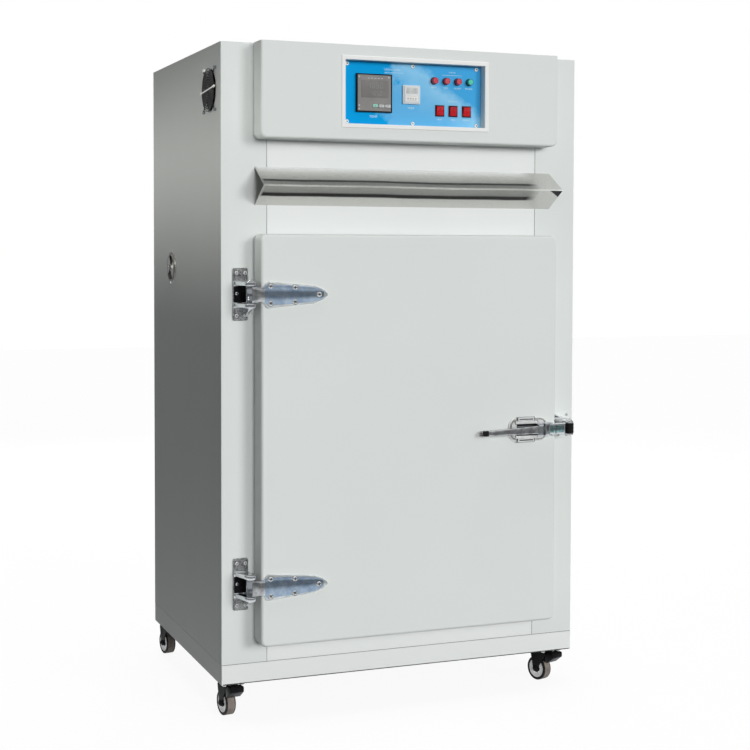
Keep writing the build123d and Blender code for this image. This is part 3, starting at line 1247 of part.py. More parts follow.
def caster_fork(has_pedal):
    """A fork about the swivel axis at the origin, with its wheel towards -Y, and its axle."""
    top_z = -CASTER_PLATE_THICKNESS - CASTER_RACE_HEIGHT - SEAT_GAP
    wheel_radius = WHEEL_DIAMETER / 2
    axle_z = -CASTER_HEIGHT + wheel_radius
    half = FORK_WIDTH / 2
    crown = rod((0, 0, top_z - FORK_SHEET), (0, 0, 1), CASTER_RACE_RADIUS, FORK_SHEET)
    hole = KINGPIN_RADIUS + PIN_CLEARANCE
    fork = crown
    for side in (-1, 1):
        outer = side * half
        inner = side * (half - FORK_SHEET)
        low, high = min(outer, inner), max(outer, inner)
        cheek = prism_x(
            [
                (FORK_HEEL, top_z), (FORK_HEEL, top_z - FORK_SHEET * 3),
                (-WHEEL_OFFSET + FORK_BOSS - 0.5, axle_z - CASTER_AXLE),
                (-WHEEL_OFFSET - FORK_BOSS + 0.5, axle_z - CASTER_AXLE),
                (-FORK_REACH - FORK_SLOPE, top_z - FORK_SHEET * 3), (-FORK_REACH, top_z),
            ],
            low, high,
        )
        cheek += rod((low, -WHEEL_OFFSET, axle_z), (1, 0, 0), FORK_BOSS, FORK_SHEET)
        fork += cheek
    bridge = block(
        -half, half, -FORK_REACH + FORK_SHEET + 1, FORK_HEEL - 1, top_z - FORK_SHEET, top_z,
    )
    fork += bridge
    fork -= rod((0, 0, top_z - FORK_SHEET - 1), (0, 0, 1), hole, FORK_SHEET + 2)
    fork -= rod((-half - 1, -WHEEL_OFFSET, axle_z), (1, 0, 0), CASTER_AXLE, FORK_WIDTH + 2)
    axle = rod((-half - 2, -WHEEL_OFFSET, axle_z), (1, 0, 0), CASTER_AXLE, FORK_WIDTH + 4)
    pieces = [fork, axle]
    if has_pedal:
        pin_x = half - FORK_SHEET
        pieces.append(rod((-pin_x, *pedal_axis()), (1, 0, 0), PEDAL_PIN, 2 * pin_x))
    return pieces


def pedal_axis():
    """Where a brake pedal turns on its fork, in Y and Z about the swivel axis."""
    top_z = -CASTER_PLATE_THICKNESS - CASTER_RACE_HEIGHT - SEAT_GAP
    return PEDAL_PIN_Y, top_z - FORK_SHEET - SEAT_GAP - PEDAL_EYE


def caster_wheel():
    """A wheel about its axle, in the same place as the fork's."""
    axle_z = -CASTER_HEIGHT + WHEEL_DIAMETER / 2
    start = (-WHEEL_WIDTH / 2, -WHEEL_OFFSET, axle_z)
    wheel = rod(start, (1, 0, 0), WHEEL_DIAMETER / 2, WHEEL_WIDTH)
    wheel = fillet(wheel.edges().filter_by(GeomType.CIRCLE), 3)
    boss = FORK_WIDTH - 2 * FORK_SHEET - 2 * SEAT_GAP
    wheel += rod((-boss / 2, -WHEEL_OFFSET, axle_z), (1, 0, 0), CASTER_AXLE * 2, boss)
    bore = CASTER_AXLE + PIN_CLEARANCE
    return wheel - rod((-FORK_WIDTH, -WHEEL_OFFSET, axle_z), (1, 0, 0), bore, 2 * FORK_WIDTH)


def brake_pedal():
    """A pedal about its pin at the heel of a fork, with a deep pad that hangs outside."""
    pin_y, pin_z = pedal_axis()
    width = FORK_WIDTH - 2 * FORK_SHEET - 2 * SEAT_GAP
    pedal = rod((-width / 2, pin_y, pin_z), (1, 0, 0), PEDAL_EYE, width)
    low = pin_z - PEDAL_THICKNESS / 2
    high = pin_z + PEDAL_THICKNESS / 2
    pedal += block(-width / 2, width / 2, pin_y, PEDAL_START + 1, low, high)
    top = pin_z + PEDAL_RISE
    pad = [
        (PEDAL_START, low), (PEDAL_START, high), (PEDAL_START + 6, high + 1.2), (PEDAL_START + 8, top),
        (PEDAL_REACH - 2, top), (PEDAL_REACH, top - 2), (PEDAL_REACH, top - PEDAL_NOSE),
        (PEDAL_START + 7, pin_z - PEDAL_DROP), (PEDAL_START + 2, pin_z - PEDAL_DROP + 1.5),
    ]
    pedal += prism_x(pad, -PEDAL_WIDTH / 2, PEDAL_WIDTH / 2)
    bore = PEDAL_PIN + PIN_CLEARANCE
    return pedal - rod((-FORK_WIDTH, pin_y, pin_z), (1, 0, 0), bore, 2 * FORK_WIDTH)


def casters():
    """Four swivel casters, each turned as it stands; the two in front have a brake pedal."""
    plates = []
    for name, (x, y) in CASTERS.items():
        plates += caster_plate(x, y)
        place = Pos(x, y, 0) * Rot(0, 0, CASTER_TURN[name])
        has_pedal = name.startswith("front")
        save(f"caster_fork_{name}", *[place * piece for piece in caster_fork(has_pedal)])
        save(f"caster_wheel_{name}", place * caster_wheel())
        if has_pedal:
            save(f"brake_pedal_{name}", place * brake_pedal())
    save("caster_plates", *plates)


os.makedirs("parts", exist_ok=True)
cabinet_shell()
chamber()
insulation()
air_ducts()
shelves()
heaters()
blower()
control_gear()
control_housing()
control_panel()
instruments()
lamps_and_switches()
steam_guard()
door()
hinges()
latch()
side_fan()
vent()
casters()
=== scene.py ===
"""Looks of the drying oven: a free-standing cabinet on casters with a strap-hinged door.

Lengths are millimetres from the cabinet's front left bottom corner (X right, Y back, Z up),
as a maker would measure them. at() turns them into the oven's own metres. What repeats or
turns is made once about its own zero and then placed.
"""

import json
import math

import bmesh
import bpy
from mathutils import Matrix, Vector

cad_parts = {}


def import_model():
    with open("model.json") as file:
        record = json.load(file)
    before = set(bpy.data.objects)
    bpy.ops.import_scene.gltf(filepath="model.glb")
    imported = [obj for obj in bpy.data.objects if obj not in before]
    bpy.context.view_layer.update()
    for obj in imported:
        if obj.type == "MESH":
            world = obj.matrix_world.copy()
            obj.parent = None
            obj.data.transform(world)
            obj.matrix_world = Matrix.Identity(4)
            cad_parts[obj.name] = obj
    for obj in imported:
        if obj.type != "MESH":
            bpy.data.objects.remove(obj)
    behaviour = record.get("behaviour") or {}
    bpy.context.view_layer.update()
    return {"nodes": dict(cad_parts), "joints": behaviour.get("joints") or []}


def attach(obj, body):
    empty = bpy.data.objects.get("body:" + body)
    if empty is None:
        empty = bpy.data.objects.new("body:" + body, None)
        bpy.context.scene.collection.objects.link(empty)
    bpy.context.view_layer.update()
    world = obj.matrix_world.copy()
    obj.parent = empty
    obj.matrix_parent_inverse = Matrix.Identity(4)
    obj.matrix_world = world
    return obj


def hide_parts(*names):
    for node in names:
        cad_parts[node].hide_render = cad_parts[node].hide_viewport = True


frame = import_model()
NODES = frame["nodes"]
PIVOTS = {joint["name"]: joint.get("pos_m") for joint in frame["joints"]}
CORNER = Vector((-486, -326, 95))


def at(x, y, z):
    """A place in the oven's own frame, in metres."""
    return (Vector((x, y, z)) + CORNER) / 1000


def pivot(joint):
    """Where a joint turns, in millimetres from the cabinet's corner."""
    return [round(1000 * value - edge, 1) for value, edge in zip(PIVOTS[joint], CORNER)]


# Sizes shared with the solids
BODY_WIDTH, BODY_DEPTH = 985, 720
DOOR_FACE = -62
PANEL_Y = -38
WINDOW_LEFT, WINDOW_BOTTOM, WINDOW_WIDTH, WINDOW_HEIGHT = 304, 1404, 384, 159
HINGE_LEVELS = (252.5, 977.5)
PIN_X, PIN_Y, _ = pivot("door_swing")
LEVER_X, LEVER_Y, LATCH_Z = pivot("lever_pull")
ROLLER_X, ROLLER_Y, _ = pivot("roller_spin")
FAN_PLACE = (0, *pivot("fan_spin")[1:])
VENT_PLACE = (0, *pivot("vent_turn")[1:])
CASTER_TURNS = {"front_left": 188, "front_right": 199, "back_left": 188, "back_right": 204}


# Materials

class Graph:
    """A node tree, with a short method for each kind of step in it."""

    def __init__(self, tree):
        self.tree = tree
        self.shader = tree.nodes.get("Principled BSDF")

    def fill(self, node, values):
        """Gives a node's inputs their numbers, or links them to other nodes' outputs."""
        for key, value in values.items():
            if isinstance(value, bpy.types.NodeSocket):
                self.tree.links.new(value, node.inputs[key])
            else:
                node.inputs[key].default_value = value

    def make(self, kind, output, values):
        """A new node with its inputs filled; returns one output."""
        node = self.tree.nodes.new(f"ShaderNode{kind}")
        self.fill(node, values)
        return node.outputs[output]

    def put(self, **values):
        """Fills inputs of the shader, named with underscores for spaces."""
        self.fill(self.shader, {key.replace("_", " "): value for key, value in values.items()})

    def place(self, scale=(1, 1, 1)):
        """Object coordinates, stretched by a scale along each axis."""
        source = self.make("TexCoord", "Object", {})
        return self.make("Mapping", "Vector", {"Vector": source, "Scale": scale})

    def noise(self, vector, scale, detail=3.0):
        """A noise value in 0 to 1."""
        values = {"Vector": vector, "Scale": scale, "Detail": detail, "Roughness": 0.55}
        return self.make("TexNoise", "Fac", values)

    def spread(self, value, low, high, start=0.3, end=0.7):
        """A value mapped from start..end to low..high."""
        ends = {"From Min": start, "From Max": end, "To Min": low, "To Max": high}
        return self.make("MapRange", "Result", {"Value": value, **ends})

    def maths(self, operation, first, second=0.0):
        """One arithmetic step on values or numbers."""
        node = self.tree.nodes.new("ShaderNodeMath")
        node.operation = operation
        self.fill(node, {0: first, 1: second})
        return node.outputs["Value"]

    def plus(self, first, second):
        return self.maths("ADD", first, second)

    def minus(self, first, second):
        return self.maths("SUBTRACT", first, second)

    def times(self, first, second):
        return self.maths("MULTIPLY", first, second)

    def below(self, first, second):
        return self.maths("LESS_THAN", first, second)

    def tint(self, value, low, high):
        """A colour between two by a value in 0 to 1."""
        node = self.tree.nodes.new("ShaderNodeMix")
        node.data_type = "RGBA"
        colors = [index for index, socket in enumerate(node.inputs) if socket.type == "RGBA"]
        ends = [(*color, 1) if isinstance(color, tuple) else color for color in (low, high)]
        self.fill(node, {"Factor": value, **dict(zip(colors, ends))})
        return [socket for socket in node.outputs if socket.type == "RGBA"][0]

    def ramp(self, value, stops, cast):
        """A run of greys by (position, shade), each multiplied by a cast."""
        node = self.tree.nodes.new("ShaderNodeValToRGB")
        elements = node.color_ramp.elements
        for position, shade in stops:
            element = elements.new(position) if position else elements[0]
            element.color = (*(shade * part for part in cast), 1)
        self.fill(node, {"Fac": value})
        return node.outputs["Color"]

    def axes(self, vector):
        """The three parts of a vector."""
        return [self.make("SeparateXYZ", axis, {"Vector": vector}) for axis in "XYZ"]

    def choose(self, value, first, second):
        """A shader between two by a value in 0 to 1."""
        return self.make("MixShader", "Shader", {"Fac": value, 1: first, 2: second})

    def emboss(self, height, strength, depth):
        """A bump from a height value, put on the shader."""
        bump = {"Height": height, "Strength": strength, "Distance": depth}
        self.put(Normal=self.make("Bump", "Normal", bump))


def new_material(name, color, rough, metal=0.0, **more):
    """A principled material with its graph."""
    material = bpy.data.materials.new(name)
    material.use_nodes = True
    graph = Graph(material.node_tree)
    graph.put(Base_Color=(*color, 1), Roughness=rough, Metallic=metal, **more)
    return material, graph


def surface(name, light, dark, rough, metal=0.0, blotch=6.0, grain=400.0, bump=0.15,
            stretch=(1, 1, 1), depth=0.0004, **more):
    """A general surface: two close tints in blotches, varied gloss and a fine grain."""
    material, graph = new_material(name, light, sum(rough) / 2, metal, **more)
    plain = graph.place()
    fine = graph.noise(graph.place(stretch), grain)
    patches = graph.spread(graph.noise(plain, blotch, 4), 0, 1)
    wide = graph.noise(plain, blotch * 3)
    gloss = graph.plus(graph.spread(fine, 0, 0.5), graph.spread(wide, 0, 0.5))
    graph.put(Base_Color=graph.tint(patches, dark, light), Roughness=graph.spread(gloss, *rough, 0, 1))
    graph.emboss(fine, bump, depth)
    return material


def plated(*values):
    """A surface with a very shallow grain."""
    return surface(*values, depth=0.0002)


def lit(name, light, dark, rough, blotch, glow, strength, coat):
    """A coloured plastic that glows faintly."""
    return surface(name, light, dark, rough, 0, blotch, 700, 0.05, Coat_Weight=coat,
                   Emission_Color=(*glow, 1), Emission_Strength=strength)


def blue_film():
    """The glossy blue panel film, with soft pale bands that run down across it."""
    blue, pale_blue = (0.002, 0.33, 0.72), (0.27, 0.60, 0.86)
    material, graph = new_material("blue_film", blue, 0.32, Specular_IOR_Level=0.1)
    x, _, z = graph.axes(graph.place())
    low = at(WINDOW_LEFT, 0, WINDOW_BOTTOM)
    across = graph.maths("DIVIDE", graph.minus(x, low.x), WINDOW_WIDTH / 1000)
    up = graph.maths("DIVIDE", graph.minus(z, low.z), WINDOW_HEIGHT / 1000)
    cloud = graph.spread(graph.noise(graph.place(), 26), -0.10, 0.10)
    slope = graph.times(graph.minus(across, 0.56), 1.75)
    beyond = graph.plus(graph.minus(up, graph.minus(1.0, slope)), cloud)
    inside = graph.spread(beyond, 1, 0.22, -0.16, 0.03)
    fade = graph.spread(beyond, 0.45, 1, -0.75, -0.12)
    edge = graph.plus(graph.times(up, 0.08), 0.27)
    left = graph.spread(graph.plus(graph.minus(across, edge), cloud), 0, 1, -0.02, 0.06)
    pale = graph.times(graph.times(inside, fade), left)
    pale.node.use_clamp = True
    fine = graph.noise(graph.place(), 900, 2)
    graph.put(Base_Color=graph.tint(pale, blue, pale_blue), Roughness=graph.spread(fine, 0.26, 0.38))
    graph.emboss(fine, 0.04, 0.0002)
    return material


def guard_steel():
    """Polished sheet with painted reflections: soft dark bands that run along its fold, a painted highlight
    on the fold itself, and painted shade at its right end.
    """
    ridge, highlight_half, bite = 0.498, 0.014, 0.484
    # Painted reflections: shades up the sheet from its bottom edge to its top, with two dark bands.
    bands = (
        (0.0, 0.70), (0.215, 0.66), (0.24, 0.015), (0.30, 0.015), (0.335, 0.36), (0.47, 0.50), (0.484, 1.0),
        (0.512, 1.0), (0.53, 0.50), (0.60, 0.42), (0.618, 0.06), (0.65, 0.08), (0.675, 0.62), (0.85, 0.72),
        (1.0, 0.74),
    )
    material, graph = new_material("polished_guard", (0.6, 0.6, 0.58), 0.14, 1.0)
    x, _, z = graph.axes(graph.place())
    low, high = at(87, 0, 1199), at(909, 0, 1294)
    up = graph.spread(z, 0, 1, low.z, high.z)
    across = graph.spread(x, 0, 1, low.x, high.x)
    drift = graph.spread(graph.noise(graph.place(), 5, 2), -0.012, 0.012)
    painted_reflections = graph.ramp(graph.plus(up, drift), bands, (1, 0.985, 0.94))
    # Near both ends the painted reflections give way to plain steel.
    sides = graph.times(graph.spread(across, 0, 1, 0.0, 0.008), graph.spread(across, 1, 0, 0.89, 0.925))
    color = graph.tint(sides, (0.66, 0.65, 0.625), painted_reflections)
    # A painted highlight along the fold.
    fold = graph.below(graph.maths("ABSOLUTE", graph.minus(up, ridge)), highlight_half)
    color = graph.tint(fold, color, (1.0, 0.99, 0.96))
    # Painted shade: a near-black triangle under the fold at the right end.
    reach = graph.spread(across, 0, 0.16, 0.955, 1.0)
    corner = graph.times(graph.below(up, bite), graph.below(graph.minus(bite, up), reach))
    fine = graph.noise(graph.place((1, 25, 25)), 50)
    graph.put(Base_Color=graph.tint(corner, color, (0.012, 0.012, 0.012)),
              Roughness=graph.spread(fine, 0.24, 0.36))
    graph.emboss(fine, 0.02, 0.0001)
    return material


def spangled():
    """Galvanised sheet with its crystal flakes."""
    material, graph = new_material("galvanised", (0.5, 0.52, 0.53), 0.4, 1.0)
    cells = graph.make("TexVoronoi", "Color", {"Scale": 90, "Vector": graph.place()})
    shade = graph.make("SeparateColor", "Red", {"Color": cells})
    gloss = graph.make("SeparateColor", "Green", {"Color": cells})
    graph.put(Base_Color=graph.tint(shade, (0.42, 0.44, 0.45), (0.6, 0.62, 0.63)),
              Roughness=graph.spread(gloss, 0.3, 0.5, 0, 1))
    graph.emboss(graph.noise(graph.place(), 500, 2), 0.1, 0.0003)
    return material


def painted(name, light, dark):
    """Baked enamel with a faint orange peel."""
    return surface(name, light, dark, (0.34, 0.46), 0, 2.2, 700, 0.10, depth=0.0003,
                   Coat_Weight=0.06, Coat_Roughness=0.3)


def printed(name, light, dark, rough=(0.4, 0.5), bump=0.03):
    """Flat ink."""
    return surface(name, light, dark, rough, 0, 200, 900, bump)


M = {
    "paint": painted("white_paint", (0.735, 0.77, 0.755), (0.715, 0.75, 0.735)),
    # A lighter copy of the white paint for the front panel and plinth: partly these sheets' own tint, partly
    # painted light for the brighter light on them.
    "paint_brightened": painted("front_paint_brightened", (0.80, 0.825, 0.815), (0.78, 0.805, 0.795)),
    "seam": surface("seam_shadow", (0.10, 0.105, 0.10), (0.07, 0.075, 0.07), (0.6, 0.8), 0, 20, 300, 0.05),
    "trim": surface("white_trim", (0.86, 0.87, 0.86), (0.82, 0.83, 0.82), (0.25, 0.36), 0, 12, 800, 0.06),
    "mirror": guard_steel(),
    "galvanised": spangled(),
    "film": blue_film(),
    "stainless": surface("brushed_stainless", (0.66, 0.645, 0.63), (0.56, 0.55, 0.54), (0.16, 0.34),
                         1, 3, 60, 0.12, (1, 22, 22), 0.0002),
    "liner": surface("chamber_stainless", (0.60, 0.60, 0.59), (0.50, 0.50, 0.49), (0.24, 0.40),
                     1, 4, 60, 0.12, (20, 20, 1), 0.0002),
    "blue_zinc": plated("blue_zinc", (0.46, 0.56, 0.67), (0.27, 0.36, 0.48), (0.16, 0.28),
                        1, 45, 300, 0.05),
    # A pale copy of the plating for the hinge strap's rim: a painted highlight.
    "strap_rim_highlight": plated("grey_zinc", (0.80, 0.83, 0.82), (0.52, 0.56, 0.56), (0.14, 0.28),
                        0.7, 60, 300, 0.05),
    "chrome": plated("bright_plate", (0.80, 0.82, 0.83), (0.66, 0.68, 0.70), (0.05, 0.16),
                     1, 30, 260, 0.05),
    "dark_chrome": plated("shaded_plate", (0.34, 0.36, 0.38), (0.24, 0.26, 0.28), (0.14, 0.30),
                          1, 40, 300, 0.10),
    "plate_zinc": plated("bright_zinc", (0.90, 0.91, 0.90), (0.66, 0.67, 0.67), (0.16, 0.30),
                         0.35, 70, 400, 0.06),
    "cut_zinc": plated("cut_zinc", (0.88, 0.89, 0.88), (0.50, 0.51, 0.51), (0.12, 0.26),
                       0.75, 160, 400, 0.06),
    "lever_zinc": plated("lever_zinc", (0.66, 0.67, 0.67), (0.26, 0.265, 0.27), (0.12, 0.26),
                         1, 60, 300, 0.08),
    # A teal tint for the bolt's top: a painted reflection.
    "teal_reflection": plated("teal_bright_plate", (0.42, 0.62, 0.60), (0.16, 0.28, 0.30), (0.06, 0.18),
                         1, 120, 500, 0.06),
    "mottled": surface("mottled_zinc", (0.60, 0.61, 0.60), (0.12, 0.125, 0.13), (0.24, 0.5),
                       0.85, 240, 500, 0.35),
    "steel": surface("plain_steel", (0.55, 0.56, 0.57), (0.45, 0.46, 0.47), (0.25, 0.40), 1, 12, 300, 0.12),
    "zinc": surface("zinc_bolt", (0.80, 0.80, 0.77), (0.60, 0.60, 0.58), (0.24, 0.4), 0.4, 120, 900, 0.12),
    "plate_grey": surface("grey_plate", (0.46, 0.455, 0.43), (0.28, 0.28, 0.265), (0.2, 0.38),
                          0.6, 60, 600, 0.1),
    "wire": surface("guard_wire", (0.055, 0.055, 0.055), (0.03, 0.03, 0.03), (0.28, 0.42),
                    0.6, 60, 500, 0.06),
    "heater": surface("heated_tube", (0.20, 0.16, 0.15), (0.12, 0.11, 0.12), (0.35, 0.55), 1, 50, 700, 0.2),
    "black": surface("black_plastic", (0.016, 0.016, 0.017), (0.009, 0.009, 0.010), (0.34, 0.5),
                     0, 20, 900, 0.12, Specular_IOR_Level=0.1),
    "black_gloss": surface("black_enamel", (0.008, 0.008, 0.009), (0.004, 0.004, 0.005), (0.20, 0.34),
                           0, 25, 500, 0.08, Specular_IOR_Level=0.12),
    "tyre": surface("black_tyre", (0.022, 0.020, 0.020), (0.012, 0.011, 0.011), (0.4, 0.6), 0, 60, 900, 0.3,
                    Specular_IOR_Level=0.2),
    "tread": surface("worn_tread", (0.27, 0.235, 0.20), (0.17, 0.145, 0.14), (0.55, 0.8), 0, 60, 900, 0.4),
    # The hub faces glow faintly: painted light on a part that is no lamp.
    "hub": surface("grey_hub_painted_glow", (0.96, 0.96, 0.96), (0.84, 0.84, 0.84), (0.22, 0.34), 0.1, 70, 900, 0.1,
                   Emission_Color=(1, 1, 1, 1), Emission_Strength=0.2),
    # Screw heads, studs and a guard bar that glow faintly: painted glints on parts that are no lamps.
    "bright": surface("bright_cap_painted_glow", (0.97, 0.97, 0.95), (0.90, 0.90, 0.88), (0.3, 0.45),
                      0.05, 60, 500, 0.06, Emission_Color=(1, 1, 0.98, 1), Emission_Strength=0.15),
    "grey_face": surface("grey_film", (0.27, 0.262, 0.255), (0.23, 0.224, 0.218), (0.32, 0.44),
                         0, 30, 900, 0.05, Specular_IOR_Level=0.3),
    "smoke": surface("smoked_window", (0.215, 0.205, 0.198), (0.18, 0.173, 0.167), (0.28, 0.4),
                     0, 30, 600, 0.03, Specular_IOR_Level=0.3),
    "window_grey": surface("dial_window", (0.66, 0.68, 0.67), (0.50, 0.52, 0.52), (0.12, 0.22),
                           0, 60, 700, 0.04),
    "pale": surface("pale_plastic", (0.70, 0.74, 0.77), (0.62, 0.66, 0.69), (0.30, 0.42), 0, 25, 900, 0.08),
    "cream": surface("cream_label", (0.88, 0.87, 0.84), (0.80, 0.79, 0.76), (0.35, 0.5), 0, 60, 900, 0.06),
    "key": surface("key_cap", (0.58, 0.60, 0.59), (0.5, 0.52, 0.51), (0.3, 0.42), 0, 60, 900, 0.08),
    "green_key": surface("green_key_cap", (0.34, 0.62, 0.52), (0.28, 0.55, 0.46), (0.3, 0.42),
                         0, 60, 900, 0.08),
    "gear": surface("gear_plastic", (0.66, 0.66, 0.62), (0.58, 0.58, 0.55), (0.4, 0.55), 0, 25, 900, 0.12),
    "motor": surface("motor_enamel", (0.10, 0.15, 0.20), (0.08, 0.12, 0.17), (0.25, 0.4), 0, 20, 500, 0.15),
    "seal": surface("silicone_seal", (0.36, 0.075, 0.045), (0.28, 0.055, 0.035), (0.45, 0.6),
                    0, 30, 900, 0.15),
    "wool": surface("mineral_wool", (0.58, 0.52, 0.34), (0.44, 0.39, 0.25), (0.85, 1.0), 0, 40, 160, 1.0,
                    (1, 1, 6), 0.002),
    "dark_red": surface("rocker_frame_dark", (0.055, 0.008, 0.012), (0.03, 0.006, 0.008), (0.25, 0.4),
                        0, 45, 700, 0.08),
    "ink": printed("white_print", (0.62, 0.78, 0.86), (0.50, 0.70, 0.80)),
    "pale_ink": printed("pale_blue_print", (0.16, 0.50, 0.72), (0.12, 0.44, 0.68)),
    # Dark ink for print and marks, also used for painted shade: screw slots and the shadow at the plinth's
    # foot.
    "dark_ink": printed("dark_print_and_shade", (0.05, 0.05, 0.05), (0.03, 0.03, 0.03)),
    "segment": printed("dim_segments", (0.25, 0.27, 0.25), (0.22, 0.24, 0.22), (0.3, 0.4), 0.02),
    "window_ink": printed("faint_segments", (0.42, 0.44, 0.44), (0.38, 0.40, 0.40), (0.3, 0.4), 0.02),
    "red_lens": lit("red_lens", (0.34, 0.016, 0.03), (0.20, 0.008, 0.016), (0.12, 0.24), 60,
                    (0.5, 0.02, 0.03), 0.06, 0.3),
    # The caps are lighter copies of the lens colours: painted light on the lenses' front faces.
    "lens_cap": lit("red_lens_cap_painted_lit_face", (0.62, 0.09, 0.12), (0.46, 0.04, 0.06), (0.12, 0.24), 110,
                    (0.8, 0.08, 0.1), 0.08, 0.3),
    "green_lens": lit("green_lens", (0.008, 0.16, 0.15), (0.004, 0.10, 0.10), (0.12, 0.24), 60,
                      (0.01, 0.2, 0.16), 0.06, 0.3),
    "green_cap": lit("green_lens_cap_painted_lit_face", (0.10, 0.62, 0.44), (0.05, 0.48, 0.34), (0.12, 0.24), 110,
                     (0.06, 0.5, 0.36), 0.10, 0.3),
    "rocker": lit("rocker_red", (0.58, 0.006, 0.012), (0.36, 0.003, 0.008), (0.16, 0.3), 45,
                  (0.7, 0.006, 0.012), 0.10, 0.2),
}


# Mesh making, in millimetres

ZERO = (0, 0, 0)
TURN_TO = {
    "x": Matrix.Rotation(math.pi / 2, 3, "Y"),
    "y": Matrix.Rotation(-math.pi / 2, 3, "X"),
    "z": Matrix.Identity(3),
}


def moved(x, y, z):
    return Matrix.Translation((x, y, z))


def turned(place, axis, angle):
    """A turn by an angle in degrees about an axis, then a move to a place."""
    return Matrix.Translation(place) @ Matrix.Rotation(math.radians(angle), 4, axis)


def even(count, start=0):
    """Angles evenly spread round a circle."""
    return [start + 360 / count * i for i in range(count)]


class Mesh:
    """Simple solids gathered into one mesh, each with its own material."""

    def __init__(self):
        self.bm = bmesh.new()
        self.materials = []

    def mark(self, faces, material):
        if material not in self.materials:
            self.materials.append(material)
        for face in faces:
            face.material_index = self.materials.index(material)

    def add(self, part, *places):
        """Takes in copies of another mesh, one for each matrix."""
        for place in places:
            verts = {vert: self.bm.verts.new(place @ vert.co) for vert in part.bm.verts}
            for face in part.bm.faces:
                copy = self.bm.faces.new([verts[vert] for vert in face.verts])
                self.mark([copy], part.materials[face.material_index])

    def placed(self, *places):
        """A new mesh with copies of this one."""
        mesh = Mesh()
        mesh.add(self, *places)
        return mesh

    def loft(self, rings, material="chrome", bevel=0.0, steps=2, sharp=30, closed=False):
        """Rings of the same number of points joined in order, with end faces or end to end.

        Edges sharper than an angle are rounded by the bevel.
        """
        count, levels = len(rings[0]), len(rings)
        verts = [self.bm.verts.new(point) for ring in rings for point in ring]
        faces = [] if closed else [verts[:count], verts[-count:]]
        for level in range(levels if closed else levels - 1):
            low, high = level * count, (level + 1) % levels * count
            for i in range(count):
                j = (i + 1) % count
                faces.append((verts[low + i], verts[low + j], verts[high + j], verts[high + i]))
        made = [self.bm.faces.new(face) for face in faces]
        bmesh.ops.recalc_face_normals(self.bm, faces=made)
        self.mark(made, material)
        if bevel:
            edges = {edge for face in made for edge in face.edges}
            bmesh.ops.bevel(
                self.bm, geom=[edge for edge in edges if edge.calc_face_angle(0) > math.radians(sharp)],
                offset=bevel, offset_type="OFFSET", segments=steps, profile=0.5, affect="EDGES",
                clamp_overlap=True, material=-1,
            )

    def prism(self, outline, axis, low, high, material="chrome", bevel=0.6, steps=2):
        """A straight prism over an outline given in the two other axes."""
        spot = "xyz".index(axis)
        rings = [[(*point[:spot], level, *point[spot:]) for point in outline] for level in (low, high)]
        self.loft(rings, material, bevel, steps)

    def box(self, x0, x1, y0, y1, z0, z1, material="chrome", bevel=0.6, steps=2):
        self.prism([(x0, z0), (x1, z0), (x1, z1), (x0, z1)], "y", y0, y1, material, bevel, steps)

    def lathe(self, centre, axis, profile, material="chrome", count=40, materials=None):
        """A turned form: (radius, height) points spun about an axis through the centre."""
        rings = []
        for radius, height in profile:
            angles = [2 * math.pi * i / count for i in range(count if radius else 1)]
            points = [Vector((radius * math.cos(a), radius * math.sin(a), height)) for a in angles]
            rings.append([self.bm.verts.new(Vector(centre) + TURN_TO[axis] @ point) for point in points])
        made = []
        for index, (a, b) in enumerate(zip(rings, rings[1:])):
            band = []
            for i in range(count):
                j = (i + 1) % count
                if len(a) == 1:
                    corners = (a[0], b[i], b[j])
                elif len(b) == 1:
                    corners = (a[i], a[j], b[0])
                else:
                    corners = (a[i], a[j], b[j], b[i])
                band.append(self.bm.faces.new(corners))
            self.mark(band, materials[index] if materials else material)
            made += band
        bmesh.ops.recalc_face_normals(self.bm, faces=made)

    def rod(self, start, axis, radius, length, material="chrome", chamfer=0.5, count=32):
        """A round bar with soft rims."""
        rim = radius - chamfer
        far = length - chamfer
        profile = [(0, 0), (rim, 0), (radius, chamfer), (radius, far), (rim, length), (0, length)]
        self.lathe(start, axis, profile, material, count)

    def piece(self, name, body, slot, *nodes):
        """The finished object, riding on a body and standing for nodes, in metres."""
        bmesh.ops.remove_doubles(self.bm, verts=self.bm.verts, dist=0.0005)
        for vert in self.bm.verts:
            vert.co = at(*vert.co)
        data = bpy.data.meshes.new(name)
        self.bm.to_mesh(data)
        self.bm.free()
        for material in self.materials:
            data.materials.append(M[material])
        data.polygons.foreach_set("use_smooth", [True] * len(data.polygons))
        data.set_sharp_from_angle(angle=math.radians(32))
        thing = show(name, data)
        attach(thing, body)
        if nodes:
            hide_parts(*nodes)


def show(name, data):
    """A new object in the scene."""
    thing = bpy.data.objects.new(name, data)
    bpy.context.scene.collection.objects.link(thing)
    return thing


def drawn(shape, *values):
    """A new mesh with one shape in it, drawn by its function."""
    mesh = Mesh()
    shape(mesh, *values)
    return mesh


def arc(centre, radius, start, end, steps):
    """Points of an arc, angles in degrees."""
    angles = [math.radians(start + (end - start) * i / steps) for i in range(steps + 1)]
    return [(centre[0] + radius * math.cos(a), centre[1] + radius * math.sin(a)) for a in angles]


def hexagon(x, y, radius, turn=0):
    return arc((x, y), radius, turn, turn + 300, 5)


def rounded(x0, x1, z0, z1, radius, steps=6):
    """A rectangle outline with round corners."""
    corners = ((x1 - radius, z1 - radius, 0), (x0 + radius, z1 - radius, 90),
               (x0 + radius, z0 + radius, 180), (x1 - radius, z0 + radius, 270))
    return [p for x, z, angle in corners for p in arc((x, z), radius, angle, angle + 90, steps)]


def frame_of(mesh, x0, x1, z0, z1, width, back, front, material, bevel=1.0):
    """A flat picture frame of four mitred bars that face the front."""
    profile = ((0, back), (0, front + bevel), (bevel, front), (width - bevel, front),
               (width, front + bevel), (width, back))
    rings = []
    for inset, y in profile:
        left, right, low, high = x0 + inset, x1 - inset, z0 + inset, z1 - inset
        rings.append([(left, y, low), (right, y, low), (right, y, high), (left, y, high)])
    mesh.loft(rings, material, closed=True)


